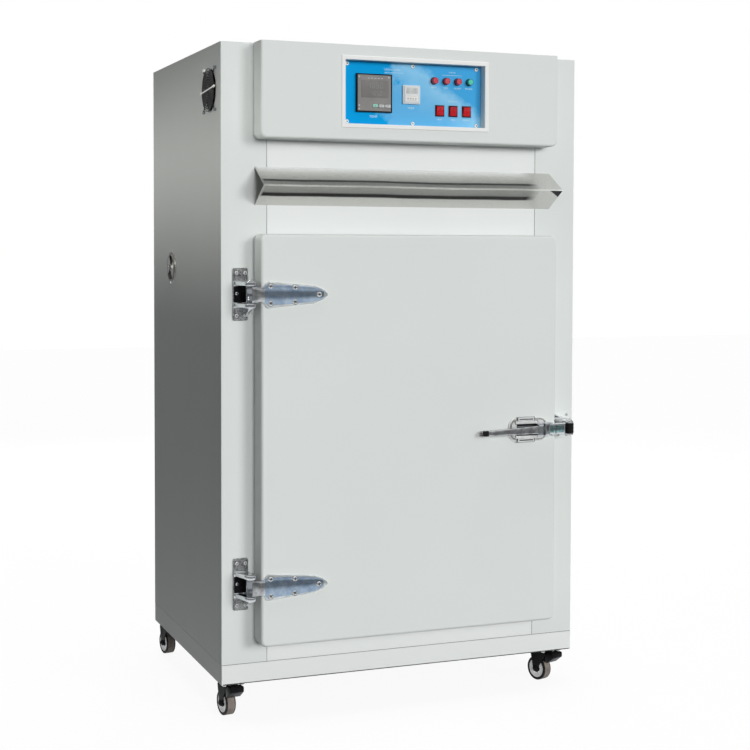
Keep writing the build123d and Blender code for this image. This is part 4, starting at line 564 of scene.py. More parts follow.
def pan_screw(mesh, x, y, z, radius, height=2.0, turn=20.0, material="chrome"):
    """A domed cross-slot screw head, looking to the front, on a thin dark ring of painted shade round its
    edge; its slots are dark bars of painted shade.
    """
    rim, slot_length, slot_width = radius * 1.16, radius * 0.62, radius * 0.15
    mesh.lathe((x, y, z), "y", [(rim, 0), (rim, -0.35), (radius * 0.9, -0.35)], "dark_chrome", 24)
    mesh.lathe((x, y, z), "y", [
        (0, -height), (radius * 0.45, -height * 0.96), (radius * 0.8, -height * 0.7),
        (radius, -height * 0.3), (radius * 1.02, -0.2), (radius, 0),
    ], material, 24)
    # The slots: dark bars, painted shade.
    slot = drawn(Mesh.box, -slot_length, slot_length, -height - 0.08, -height * 0.72,
                 -slot_width, slot_width, "dark_ink", 0)
    mesh.add(slot, turned((x, y, z), "Y", turn), turned((x, y, z), "Y", turn + 90))


# Cabinet

LOOKS = {
    "paint": "side_panel_left side_panel_right top_panel back_panel front_stiles control_housing door_skin",
    # The front panel and plinth take the lighter paint: partly their own tint, partly painted light.
    "paint_brightened": "front_panel plinth",
    "liner": "door_liner chamber_liner air_ducts shelf_runners",
    "stainless": "wire_shelves",
    "mirror": "steam_guard",
    "wool": "insulation door_core",
    "seal": "door_gasket",
    "heater": "heater_tubes",
    "motor": "blower_motor",
    "galvanised": "blower_wheel motor_deck",
    "gear": "control_gear",
    "film": "control_panel",
}
for look, names in LOOKS.items():
    for node in names.split():
        for place in NODES[node].material_slots:
            place.material = M[look]


def seam(mesh, x0, x1, z0, z1, material="seam"):
    """A dark line on a sheet that faces the front at y = 0."""
    mesh.box(x0, x1, -0.12, 0.6, z0, z1, material, 0)


def cabinet_details():
    """The trim round the window, the shadows in the seams of the front, and a painted shadow along the foot
    of the plinth.
    """
    trim_width = 10.4
    left, right = WINDOW_LEFT - trim_width, WINDOW_LEFT + WINDOW_WIDTH + trim_width
    low, high = WINDOW_BOTTOM - trim_width, WINDOW_BOTTOM + WINDOW_HEIGHT + trim_width
    stile_edges, seam_half, plinth_top, seam_top = (118, 867), 0.45, 50.5, 1361
    mesh = Mesh()
    frame_of(mesh, left, right, low, high, trim_width - 0.2, DOOR_FACE - 0.1, DOOR_FACE - 2.2, "trim")
    mesh.piece("window_trim", "cabinet", "white_paint")
    mesh = Mesh()
    for x in stile_edges:
        seam(mesh, x - seam_half, x + seam_half, plinth_top + 0.1, seam_top)
    seam(mesh, 1, BODY_WIDTH - 1, plinth_top - 0.9, plinth_top)
    # A dark strip along the foot of the plinth: painted shadow where it meets the floor.
    seam(mesh, 4, BODY_WIDTH - 4, 0.1, 2.4, "dark_ink")
    mesh.piece("front_seams", "cabinet", "white_paint")


def back_details():
    """The screwed service cover on the back sheet, with its louvres, drawn as seen from behind."""
    left, right, foot, low, high, half, inset = 24, 961, 24, 1352, 1576, 0.4, 12
    cover = Mesh()
    for z in (foot, low, high):
        seam(cover, left, right, z - half, z + half)
    for x in (left, right):
        seam(cover, x - half, x + half, foot, high)
    for x in (left + inset, right - inset):
        for i in range(6):
            pan_screw(cover, x, 0, 40 + 260 * i, 4.4, 2.2, 20 + 31 * i, "zinc")
    for i in range(1, 5):
        for z in (foot + inset, low - inset, low + inset, high - inset):
            pan_screw(cover, left + (right - left) * i / 5, 0, z, 4.4, 2.2, 10 + 47 * i, "zinc")
    louvre = Mesh()
    hood = [(0.4, 8.4), (-0.4, 8.4), (-3.2, 4.6), (-4.2, 1), (-4.2, 0), (-3.4, 0), (0.4, 5)]
    louvre.prism(hood, "x", 0, 96, "paint", 0.5)
    # A black strip behind the hood: painted shade in the louvre's opening.
    louvre.box(2, 94, -0.15, 0.5, -2.4, 3, "black", 0)
    for column in range(3):
        cover.add(louvre, *(moved(330 + 130 * column, 0, 1400 + 15 * row) for row in range(9)))
    behind = turned((BODY_WIDTH, BODY_DEPTH, 0), "Z", 180)
    cover.placed(behind).piece("service_cover_details", "cabinet", "white_paint")


# Control panel, each instrument drawn from its own left bottom corner on the panel's face

SEGMENTS = {"0": "abcdef", "1": "bc", "2": "abged", "5": "afgcd"}


def digits(mesh, text, left, bottom, height, y, material="segment"):
    """Seven-segment numbers as raised bars."""
    width, bar, half = height * 0.5, height * 0.1, height / 2
    gap = bar / 3
    places = {
        "a": (bar, width - bar, height - bar, height),
        "b": (width - bar, width, half + gap, height - gap),
        "c": (width - bar, width, gap, half - gap),
        "d": (bar, width - bar, 0, bar),
        "e": (0, bar, gap, half - gap),
        "f": (0, bar, half + gap, height - gap),
        "g": (bar, width - bar, half - bar / 2, half + bar / 2),
        "point": (-bar * 1.6, -bar * 0.6, 0, bar),
    }
    for character in text:
        for segment in SEGMENTS.get(character, ["point"]):
            x0, x1, z0, z1 = places[segment]
            mesh.box(left + x0, left + x1, y - 0.25, y, bottom + z0, bottom + z1, material, 0)
        left += 0 if character == "." else width + bar * 2.4


def words(name, text, x, z, size):
    """Raised print on the panel, centred on a place."""
    curve = bpy.data.curves.new(name, "FONT")
    curve.body = text
    curve.size = size / 1000
    curve.align_x = curve.align_y = "CENTER"
    curve.extrude = 0.00008
    curve.resolution_u = 3
    text_object = show(name, curve)
    data = bpy.data.meshes.new_from_object(text_object)
    bpy.data.objects.remove(text_object)
    data.transform(turned(at(x, PANEL_Y - 0.1, z), "X", 90))
    data.materials.clear()
    data.materials.append(M["ink"])
    thing = show(name, data)
    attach(thing, "cabinet")


def plate(mesh, x0, x1, z0, z1, radius, back, front, material, bevel):
    """A round-cornered plate that faces the front."""
    mesh.prism(rounded(x0, x1, z0, z1, radius), "y", front, back, material, bevel)


def controller():
    """The square temperature controller: rim, face, smoked window, numbers and lights."""
    left, bottom, size, front = 340, WINDOW_BOTTOM + 32, 96, -9
    face, rim, clearance = front + 1.2, 2.6, 0.5
    key_width, key_pitch, key_low, key_high = 15, 17, 12, 20
    keys = [size - 4 - key_width - key_pitch * (2 - i) for i in range(3)]
    slot_low, slot_high, far = key_low - clearance, key_high + clearance, size - rim
    place = moved(left, PANEL_Y, bottom)
    case = Mesh()
    frame_of(case, 0, size, 0, size, 3, 0, front, "black", 0.8)
    case.box(rim, far, face, 0, slot_high, far, "grey_face", 0)
    case.box(rim, far, face, 0, rim, slot_low, "grey_face", 0)
    edges = [rim] + [x for key in keys for x in (key - clearance, key + key_width + clearance)] + [far]
    for x0, x1 in zip(edges[::2], edges[1::2]):
        case.box(x0, x1, face, 0, slot_low, slot_high, "grey_face", 0)
    case.box(rim, far, face + 6.5, 0, slot_low, slot_high, "black", 0)
    plate(case, 12, 86, 36, 80, 2, face + 0.5, face - 0.5, "smoke", 0.2)
    digits(case, "105.0", 30, 60, 15, face - 0.5)
    digits(case, "105.0", 38, 42, 11, face - 0.5)
    for x, z in ((7, 88), (87, 88), (7, 16), (7, 7)):
        case.lathe((x, face, z), "y", [(0, -0.8), (1.6, -0.7), (2.2, 0)], "key", 16)
    for i in range(5):
        case.box(30 + 9 * i, 35 + 9 * i, face - 0.3, face, 84, 85.6, "key", 0)
    case.box(3, 93, 0, 75, 3, 93, "black", 1)
    case.placed(place).piece("controller_body", "cabinet", "black_plastic", "temperature_controller")
    for number, x in enumerate(keys, start=1):
        cap = Mesh()
        color = "green_key" if number == 1 else "key"
        cap.box(x, x + key_width, face - 1.2, face + 3.8, key_low, key_high, color, 0.9, 3)
        cap.box(x + 6.3, x + 8.7, face - 1.35, face - 1.1, 13.6 + number, 15 + number, "dark_ink", 0)
        node = f"controller_key_{number}"
        cap.placed(place).piece(f"key_cap_{number}", node, "light_key", node)


def timer():
    """The small timer: pale frame, number window and setting field."""
    size, front = 48, -7
    case = Mesh()
    plate(case, 0, size, 0, size, 2.5, 0, front + 2.2, "pale", 0.8)
    plate(case, 3, size - 3, 2.5, size - 2.5, 2, front + 3, front, "pale", 0.9)
    plate(case, 8, 40, 26, 42, 1.5, front + 1, front - 0.3, "window_grey", 0.25)
    digits(case, "0120", 11, 29.5, 9, front - 0.3, "window_ink")
    plate(case, 8, 40, 7, 22, 1.5, front + 1, front - 0.4, "cream", 0.3)
    frame_of(case, 6.4, 41.6, 24.6, 43.4, 1.4, front + 0.5, front - 0.6, "cream", 0.3)
    for low in (19.6, 9):
        case.box(11, 37, front - 0.5, front, low, low + 0.9, "window_ink", 0)
    for i in range(4):
        case.box(11 + 7 * i, 15.6 + 7 * i, front - 1.2, front, 11.6, 16.2, "window_grey", 0.5)
    case.box(1.5, 46.5, 0, 60, 1.5, 46.5, "black", 1)
    place = moved(467, PANEL_Y, WINDOW_BOTTOM + 56)
    case.placed(place).piece("timer_body", "cabinet", "light_key", "timer")


def lamps():
    """Round pilot lamps: dark skirt, ribbed lens and lighter cap, thread and nut behind. The cap is the lens
    colour made lighter: painted light on its front face.
    """
    ribs = 18
    for name, node, lens, cap, places in (
        ("red_lamps", "pilot_lamps_red", "red_lens", "lens_cap", (555, 588, 621)),
        ("green_lamp", "pilot_lamp_green", "green_lens", "green_cap", (653.5,)),
    ):
        lamp = Mesh()
        lamp.lathe(ZERO, "y", [
            (0, 0.5), (9.7, 0.5), (9.7, -1.6), (8.8, -2.2), (8.3, -2.2), (8.3, -11.0), (7.8, -12.6),
            (6.8, -13.2), (5.8, -12.9), (4.4, -13.5), (2.2, -14), (0, -14),
        ], lens, 36, ["black"] * 3 + [lens] * 4 + [cap] * 4)
        rib = drawn(Mesh.box, 8.0, 8.8, -10.5, -2.6, -0.5, 0.5, lens, 0.2, 1)
        lamp.add(rib, *(turned(ZERO, "Y", angle) for angle in even(ribs)))
        lamp.rod(ZERO, "y", 8, 34, "steel")
        lamp.prism(hexagon(0, 0, 12), "y", 2, 7, "steel")
        mesh = lamp.placed(*(moved(x, PANEL_Y, WINDOW_BOTTOM + 118) for x in places))
        mesh.piece(name, "cabinet", lens, node)


def rockers():
    """Rocker switches in dark frames with a pale outline printed round each."""
    z = WINDOW_BOTTOM + 42
    width, height, wall = 11.5, 13.5, 1.3
    housing, outline = Mesh(), Mesh()
    frame_of(housing, -12.5, 12.5, -14.5, 14.5, 2.4, 0, -3, "dark_red", 0.9)
    housing.box(-width, width, 9, 22, -height, height, "black", 0.5)
    for x0, x1, z0, z1 in ((-width, wall - width, -height, height), (width - wall, width, -height, height),
                           (-width, width, height - 0.7, height), (-width, width, -height, 0.7 - height)):
        housing.box(x0, x1, -1, 10, z0, z1, "black", 0)
    frame_of(outline, -15.4, 15.4, -17.4, 17.4, 1.0, 0, -0.15, "pale_ink", 0.05)
    paddle = Mesh()
    half_width, half_height, front, back = 9.5, 11.5, -3.5, 5.5
    rings = []
    for part, dip in ((-1, 0), (-0.85, 0.15), (-0.4, 0.9), (0, 1.3), (0.4, 0.9), (0.85, 0.15), (1, 0)):
        rings.append([(x, y, half_height * part) for x, y in (
            (-half_width, front + dip), (half_width, front + dip), (half_width, back), (-half_width, back))])
    paddle.loft(rings, "rocker", 0.9, 3, 60)
    paddle.box(-0.6, 0.6, front + 0.25, front + 0.8, 4, 8, "dark_red", 0)
    ring_mark = [(2.4, 0.4), (2.4, -0.05), (1.7, -0.05), (1.7, 0.4)]
    paddle.lathe((0, front + 0.4, -6), "y", ring_mark, "dark_red", 24)
    centres = (571, 608.5, 646.5)
    for number, x in enumerate(centres, start=1):
        cap = paddle.placed(turned((x, PANEL_Y - 3, z), "X", 8))
        cap.piece(f"rocker_paddle_{number}", f"rocker_{number}", "red_lens", f"rocker_{number}")
    places = [moved(x, PANEL_Y, z) for x in centres]
    housing.placed(*places).piece("rocker_housings", "cabinet", "black_plastic", "rocker_frames")
    outline.placed(*places).piece("rocker_outlines", "cabinet", "light_key")


def panel_print():
    """Generic words beside the controls and two rules."""
    for index, (text, x, z, size) in enumerate((
        ("TEMP", 388, 1421, 9), ("TIMER", 491, 1446, 7), ("DRYING OVEN", 440, 1541, 6.5),
        ("HEAT", 555, 1501, 6), ("FAN", 588, 1501, 6), ("ALARM", 621, 1501, 6), ("POWER", 653.5, 1501, 6),
        ("HEAT", 571, 1420, 6), ("FAN", 608.5, 1420, 6), ("POWER", 646.5, 1420, 6),
        ("SWITCHES", 608.5, 1467, 5.5), ("STATUS", 606, 1541, 5.5),
    )):
        words(f"print_{index}", text, x, z + 4, size)
    mesh = Mesh()
    for x0, x1 in ((418, 470), (578, 634)):
        mesh.box(x0, x1, PANEL_Y - 0.12, PANEL_Y + 0.5, 1537.6, 1538.4, "ink", 0)
    mesh.piece("print_rules", "cabinet", "light_key")


# Hinges, each drawn about its own level

def strap_ring(y, inset):
    """The pointed outline of a strap at a depth, drawn in by an inset."""
    upper = [
        (88 + inset, 17 - inset * 0.6), (96 + inset * 0.5, 30 - inset), (102 + inset * 0.3, 33 - inset),
        (222 - inset * 0.2, 21.5 - inset), (244 - inset * 0.7, 13 - inset * 0.6),
        (257 - inset * 1.3, 2.6 - inset * 0.15),
    ]
    return [(x, y, z) for x, z in upper + [(x, -z) for x, z in reversed(upper)]]


def hinge_leaf(mesh):
    """The cabinet leaf: mottled plate, a black middle of painted shade between the ears, and two ears that
    hold the pin.
    """
    mesh.prism(rounded(29, 68, -65.5, 65.5, 5), "y", -5, 0, "mottled", 1.4, 3)
    # A black plate between the ears: painted shade.
    mesh.prism(rounded(31, 61, -20, 20, 2), "y", -9, -4.8, "black_gloss", 1.0)
    mesh.box(61.5, 67, -10, -4.8, -21, 21, "chrome", 1.4, 3)
    for low, high in ((-63, -34.5), (34.5, 63)):
        mesh.prism(rounded(31, 66, low, high, 3), "y", -6.4, -4.9, "mottled", 0.8)
        for x in (32.4, 62.8):
            mesh.box(x, x + 1.8, -6.9, -6.2, low + 3, high - 3, "dark_chrome", 0.3)
    pan_screw(mesh, 38, -9, 2, 3.8, 1.8, 33)
    ear = [(31, -4), (67, -4)] + arc((PIN_X, PIN_Y), 13, 0, -180, 12)
    for low in (-32.5, 21.5):
        mesh.prism(ear, "z", low, low + 11, "chrome", 1.8, 3)
        mesh.box(30, 67.6, -9, -4, low - 1.5, low + 12.5, "chrome", 1.8, 3)
        mesh.box(33, 58, -9.6, -8.6, low + 3, low + 8, "dark_chrome", 0.4)
    gusset = [(-4, -60), (-4, -33), (-46, -33), (-40, -42), (-20, -52)]
    mesh.prism(gusset, "x", 58, 66, "chrome", 1.6, 3)
    mesh.rod((PIN_X, PIN_Y, -36), "z", 6, 71, "chrome", 1.2)
    head = [(0, 4.4), (5, 4.2), (7.6, 3), (8, 1.6), (8, 0), (0, 0)]
    tail = [(0, -4), (4.6, -3.8), (7, -2.4), (7.4, 0), (0, 0)]
    mesh.lathe((PIN_X, PIN_Y, 32.5), "z", head, "chrome", 32)
    mesh.lathe((PIN_X, PIN_Y, -32.5), "z", tail, "chrome", 32)


def hinge_arm(mesh):
    """The door strap: waisted neck, pointed plate, crowned middle band and knuckle."""
    # The pointed plate shows as a pale rim round the band: a painted highlight.
    plate_rings = ((0, 0), (3.4, 0), (4.6, 1.2), (5.0, 3.4), (5.6, 9.5))
    mesh.loft([strap_ring(DOOR_FACE - height, inset) for height, inset in plate_rings], "strap_rim_highlight", 0, 1, 20)
    base = DOOR_FACE - 4.9
    rings = []
    for x, half, rise in ((60, 19, 1), (72, 18, 1.8), (82, 17, 2.6), (92, 20, 3.6), (101, 25.5, 4),
                          (160, 22.5, 4), (215, 18, 3.6), (228, 16, 2.8), (239, 11.5, 1.6), (246, 6, 0.8)):
        flank = [(DOOR_FACE - 0.2, half + 1), (base - 0.2, half + 0.6), (base - 0.9, half * 0.97),
                 (base - 0.5 - rise * 0.5, half * 0.66), (base - rise * 0.96, half * 0.34)]
        mirrored = [(y, -z) for y, z in flank]
        rings.append([(x, y, z) for y, z in mirrored + [(base - rise, 0)] + flank[::-1]])
    mesh.loft(rings[:4], "lever_zinc", 0, 1, 20)
    mesh.loft(rings[3:], "blue_zinc", 0, 1, 20)
    mesh.lathe((PIN_X, PIN_Y, -21), "z", [
        (6.1, 0), (10, 0), (11, 1), (11, 13), (10.4, 14), (10.4, 28), (11, 29), (11, 41), (10, 42), (6.1, 42),
        (6.1, 0),
    ], "dark_chrome", 40)


def hinges():
    """Both hinges, with the screws of the straps, the leaves and the control panel."""
    strap_screws = ((107, 21), (107, -21), (170, 17.5), (170, -17.5), (233, 0))
    leaf_screws = ((38, 53), (60, 53), (38, -53), (60, -53))
    levels = [moved(0, 0, level) for level in HINGE_LEVELS]
    on_strap, on_leaf = Mesh(), Mesh()
    for i, (x, z) in enumerate(strap_screws):
        pan_screw(on_strap, x, DOOR_FACE - (5.8 if z else 7.0), z, 6.6, 3.0, 18 + 37 * i, "cut_zinc")
    for i, (x, z) in enumerate(leaf_screws):
        pan_screw(on_leaf, x, -6.4, z, 4.6, 2.0, 25 + 50 * i, "plate_zinc")
    fixed = on_leaf.placed(*levels)
    # The panel's six screws are in the glowing bright material: painted glints.
    for x in (317, 496, 675):
        for z in (7, 152):
            pan_screw(fixed, x, PANEL_Y, WINDOW_BOTTOM + z, 4.6, 2.2, 15 + x, "bright")
    drawn(hinge_leaf).placed(*levels).piece("hinge_leaves", "cabinet", "zinc_chrome", "hinge_bases")
    drawn(hinge_arm).placed(*levels).piece("hinge_arms", "door", "zinc_chrome", "hinge_straps")
    on_strap.placed(*levels).piece("strap_screws", "door", "zinc_chrome", "door_screws")
    fixed.piece("leaf_and_panel_screws", "cabinet", "zinc_chrome", "cabinet_screws")


# Latch, drawn about its own level

def latch_plate(mesh):
    """The oval base on the door, with its raised bars, and lugs and pin for the lever."""
    ovals = (
        (760.5, 876, 31, 24, 0, 3.4, "plate_zinc", 1.4),
        # The grey middle oval shows as a thin ring between the bright plates: a painted shadow line.
        (764.5, 872.5, 28.6, 21, 3.2, 4.8, "plate_grey", 0.6),
        (768.5, 868.5, 25, 18, 4.6, 7.4, "plate_zinc", 1.4),
    )
    bars = (
        # Under each bright bar lies a slightly larger dark one, a painted shade line at its edge; the black
        # bars are painted shadow between the ribs and the lever.
        (784, 836, 21.2, 33.4, 2, 7.9, "dark_chrome", 0.6),
        (786, 834, 22.5, 32.4, 2, 9.4, "plate_zinc", 1.8),
        (790, 830, 26, 29, 9, 9.7, "dark_ink", 0.3),
        (776, 844, 14.4, 23.4, 6, 9, "dark_chrome", 0.6),
        (778, 842, 15.4, 22.6, 6, 12, "plate_zinc", 1.8),
        (783, 838, 10.4, 16, 6, 9.6, "black", 0.6),
        (773, 781, 12, 21, 6, 8.8, "plate_zinc", 1.4),
        (846, 854, 12, 21, 6, 8.8, "plate_zinc", 1.4),
    )
    for x0, x1, half, radius, low, high, material, bevel in ovals:
        oval = rounded(x0, x1, -half, half, radius, 8)
        mesh.prism(oval, "y", DOOR_FACE - high, DOOR_FACE - low, material, bevel, 3)
    for x0, x1, near, far, low, high, material, bevel in bars:
        for z0, z1 in ((-far, -near), (near, far)):
            mesh.box(x0, x1, DOOR_FACE - high, DOOR_FACE - low, z0, z1, material, bevel, 3)
    lug = arc((LEVER_X, LEVER_Y), 9, -180, 0, 12) + [(LEVER_X + 9, DOOR_FACE), (LEVER_X - 9, DOOR_FACE)]
    for low in (-15.8, 10.8):
        mesh.prism(lug, "z", low, low + 5, "chrome", 0.8)
    for low in (-17.8, 14.3):
        mesh.box(856, 880, -87, DOOR_FACE, low, low + 3.5, "chrome", 0.8)
    mesh.box(782, 844, DOOR_FACE - 8, DOOR_FACE - 5, -10.5, 10.5, "dark_chrome", 1.2)
    mesh.prism(rounded(857, 870, -16, 16, 2), "y", -90.5, -87.6, "chrome", 0.9)
    mesh.box(859.5, 867.5, -91, -90.2, -12, 12, "dark_chrome", 0.3)
    for x in (770, 866):
        pan_screw(mesh, x, DOOR_FACE - 7.2, 0, 3.8, 1.8, 30)
    mesh.rod((LEVER_X, LEVER_Y, -15.8), "z", 2.95, 31.6, "steel")
    mesh.lathe((LEVER_X, LEVER_Y, 15.8), "z", [(0, 2), (3.6, 1.8), (5, 0.8), (5, 0), (0, 0)], "chrome", 28)


def pull_lever(mesh):
    """The lever: a tapered bar with a black tip, and its boss on the pin."""
    low, edge = -10.5, 1.5
    rings = []
    for x, high, half in ((680, 0.2, 3.4), (682, 1.6, 4.4), (700, 2.8, 4.8), (760, 6.2, 5), (820, 9.4, 5),
                          (838, 10.4, 5), (846, 10.5, 5)):
        near, far = LEVER_Y - half, LEVER_Y + half
        rings.append([(x, y, z) for y, z in (
            (near + 1.4, low + 0.3), (near, low + edge + 1), (near + 0.5, (low + high) / 2),
            (near, high - edge), (near + edge, high), (far - edge, high), (far, high - edge),
            (far, low + edge), (far - edge, low),
        )])
    mesh.loft(rings, "lever_zinc")
    mesh.box(679.4, 693, LEVER_Y - 5.5, LEVER_Y + 5.5, -11, 2.6, "black", 1.4, 3)
    boss = [(3.05, 0), (7, 0), (8, 1), (8, 20), (7, 21), (3.05, 21), (3.05, 0)]
    mesh.lathe((LEVER_X, LEVER_Y, low), "z", boss, "chrome", 36)


def bolt_block(mesh):
    """The bolt, with a painted teal reflection on its top, and a dark notch."""
    outline = [(868, -85), (870, -87), (916, -87), (923, -82), (923, -67), (868, -67)]
    mesh.prism(outline, "z", -14, 14, "chrome", 1.6, 3)
    mesh.box(872, 914, -87.6, -86.4, -9.5, 9.5, "teal_reflection", 0.9, 3)
    mesh.box(888, 891, -88.2, -87, -12, 12, "dark_chrome", 0.4)


def keeper(mesh):
    """The bracket on the cabinet that holds the roller."""
    mesh.prism(rounded(914, 978, -35, 35, 4), "y", -3.4, 0, "paint", 1.2, 3)
    arm = [(927, -3), (976, -3), (946, ROLLER_Y)] + arc((ROLLER_X, ROLLER_Y), 10, 0, -180, 10)[1:]
    for low in (-17.9, 13.9):
        mesh.prism(arm, "z", low, low + 4, "chrome", 0.8)
    mesh.box(918, 972, -12, -3, 12.5, 19.5, "plate_zinc", 1.6, 3)
    mesh.prism([(916, 19), (950, 19), (948, 23), (919, 34), (916, 33)], "y", -14, -3, "plate_zinc", 1.4, 3)
    mesh.prism([(921, 21.5), (941, 21.5), (922, 29)], "y", -14.4, -13.8, "dark_chrome", 0.3)
    mesh.prism([(-3, -18), (-30, -18), (-3, -30)], "x", 926, 930, "chrome", 0.8)
    for x, z, material in ((966, 27, "paint"), (941, -27, "plate_zinc"), (966, -27, "plate_zinc")):
        pan_screw(mesh, x, -3.4, z, 3.8, 1.8, 40, material)
    mesh.rod((ROLLER_X, ROLLER_Y, -17.9), "z", 2.95, 35.8, "steel")
    for side in (-1, 1):
        cap = [(0, 2 * side), (3, 1.8 * side), (4.4, 0.8 * side), (4.4, 0), (0, 0)]
        mesh.lathe((ROLLER_X, ROLLER_Y, 17.9 * side), "z", cap, "chrome", 24)


def roller(mesh):
    """The keeper's black roller, with two grooves."""
    mesh.lathe((ROLLER_X, ROLLER_Y, -13.5), "z", [
        (3.05, 0), (9.6, 0), (11, 1.4), (11, 7.4), (10.3, 8), (10.3, 8.8), (11, 9.4), (11, 17.6),
        (10.3, 18.2), (10.3, 19), (11, 19.6), (11, 25.6), (9.6, 27), (3.05, 27), (3.05, 0),
    ], "black", 44)


def latch():
    """The pull latch on the door, its lever and bolt, and the keeper with its roller."""
    for shape, name, body, slot, node in (
        (latch_plate, "latch_plate", "door", "zinc_chrome", "latch_base"),
        (pull_lever, "pull_lever", "latch_lever", "zinc_chrome", "latch_lever"),
        (bolt_block, "bolt_block", "latch_bolt", "zinc_chrome", "latch_bolt"),
        (keeper, "keeper_bracket", "cabinet", "zinc_chrome", "latch_keeper"),
        (roller, "roller_sleeve", "keeper_roller", "black_plastic", "keeper_roller"),
    ):
        drawn(shape).placed(moved(0, 0, LATCH_Z)).piece(name, body, slot, node)


# Side fan, vent and cable gland, each drawn about its own middle

def side_fan():
    """The cooling fan: wire finger guard outside, frame and impeller inside."""
    guard_x, wire_radius, screw_radius = -6.5, 1.4, 74.2
    mesh = Mesh()
    for radius in range(11, 54, 6):
        mesh.lathe((guard_x, 0, 0), "x", arc((radius, 0), wire_radius, 0, 360, 12), "wire", 56)
    for i, angle in enumerate(even(4, 45)):
        quarter = Mesh()
        quarter.rod((-3.8, 0, 9), "z", 1.5, 65, "wire", 0.5, 14)
        head = [(0, 0.4), (3.2, 0.6), (4.2, 1.6), (4.2, 6.4), (0, 6.4)]
        # One screw head is in the glowing bright material and the others are dark: a painted glint on that
        # one.
        quarter.lathe((-6.4, 0, screw_radius), "x", head, "bright" if i == 3 else "dark_chrome", 22)
        quarter.box(35, 40, -2.5, 2.5, 20, 57, "black")
        mesh.add(quarter, turned(ZERO, "X", angle))
    # A bar across the guard in the glowing bright material: a painted glint along one of its wires.
    strip = [(-69, -2), (-60, -3.6), (-50, -1.5), (50, -1.5), (60, -3.6), (69, -2)]
    strip += [(y, -z) for y, z in reversed(strip)]
    mesh.add(drawn(Mesh.prism, strip, "x", -8.7, guard_x, "bright", 0.5), turned(ZERO, "X", -4))
    cap = [(0, -1.2), (7, -1.0), (9, 0), (9, 1.6), (0, 1.6)]
    mesh.lathe((guard_x, 0, 0), "x", cap, "black_gloss", 32)
    tunnel = [(56, 0), (59.5, 0), (59.5, 4), (58, 5), (58, 33), (59.5, 34), (59.5, 38), (56, 38), (56, 0)]
    mesh.lathe((2, 0, 0), "x", tunnel, "black", 56)
    for x in (2, 36):
        corner = drawn(Mesh.box, x, x + 4, 47, 60, 47, 60, "black", 1.2)
        mesh.add(corner, *(turned(ZERO, "X", angle) for angle in even(4)))
    mesh.lathe((35, 0, 0), "x", [(0, 0), (22, 0), (22, 5), (0, 5)], "black", 36)
    mesh.rod((12, 0, 0), "x", 2.95, 23, "steel")
    place = moved(*FAN_PLACE)
    mesh.placed(place).piece("fan_guard_and_frame", "cabinet", "black_plastic", "side_fan_frame")

    rotor, blade = Mesh(), Mesh()
    hub = [(0, 0), (17, 0), (20.5, 2), (21, 4), (21, 26), (3.1, 26), (3.1, 6), (0, 6)]
    rotor.lathe((7, 0, 0), "x", hub, "black")
    section = ((-1, 0.2), (-0.4, 0.9), (0.3, 0.9), (1, 0.2), (0.3, -0.7), (-0.4, -0.7))
    steps, root, tip = 6, 19, 54
    rings = []
    for part in (step / steps for step in range(steps + 1)):
        radius = root + (tip - root) * part
        pitch = math.radians(48 - 20 * part)
        half_chord = (15 + 5 * part) / 2
        ring = []
        for along, thick in section:
            angle = 0.16 * part + along * half_chord * math.cos(pitch) / radius
            x = 19.5 + along * half_chord * math.sin(pitch) * 0.9 + thick
            ring.append((x, radius * math.sin(angle), radius * math.cos(angle)))
        rings.append(ring)
    blade.loft(rings, "black")
    rotor.add(blade, *(turned(ZERO, "X", angle) for angle in even(7)))
    rotor.placed(place).piece("fan_rotor", "fan_impeller", "black_plastic", "fan_impeller")


def pie(radius, start, steps, hub):
    """The outline of a quarter disc, with its point cut off round the hub."""
    return arc((0, 0), radius, start, start + 90, steps) + arc((0, 0), hub, start + 90, start, steps)


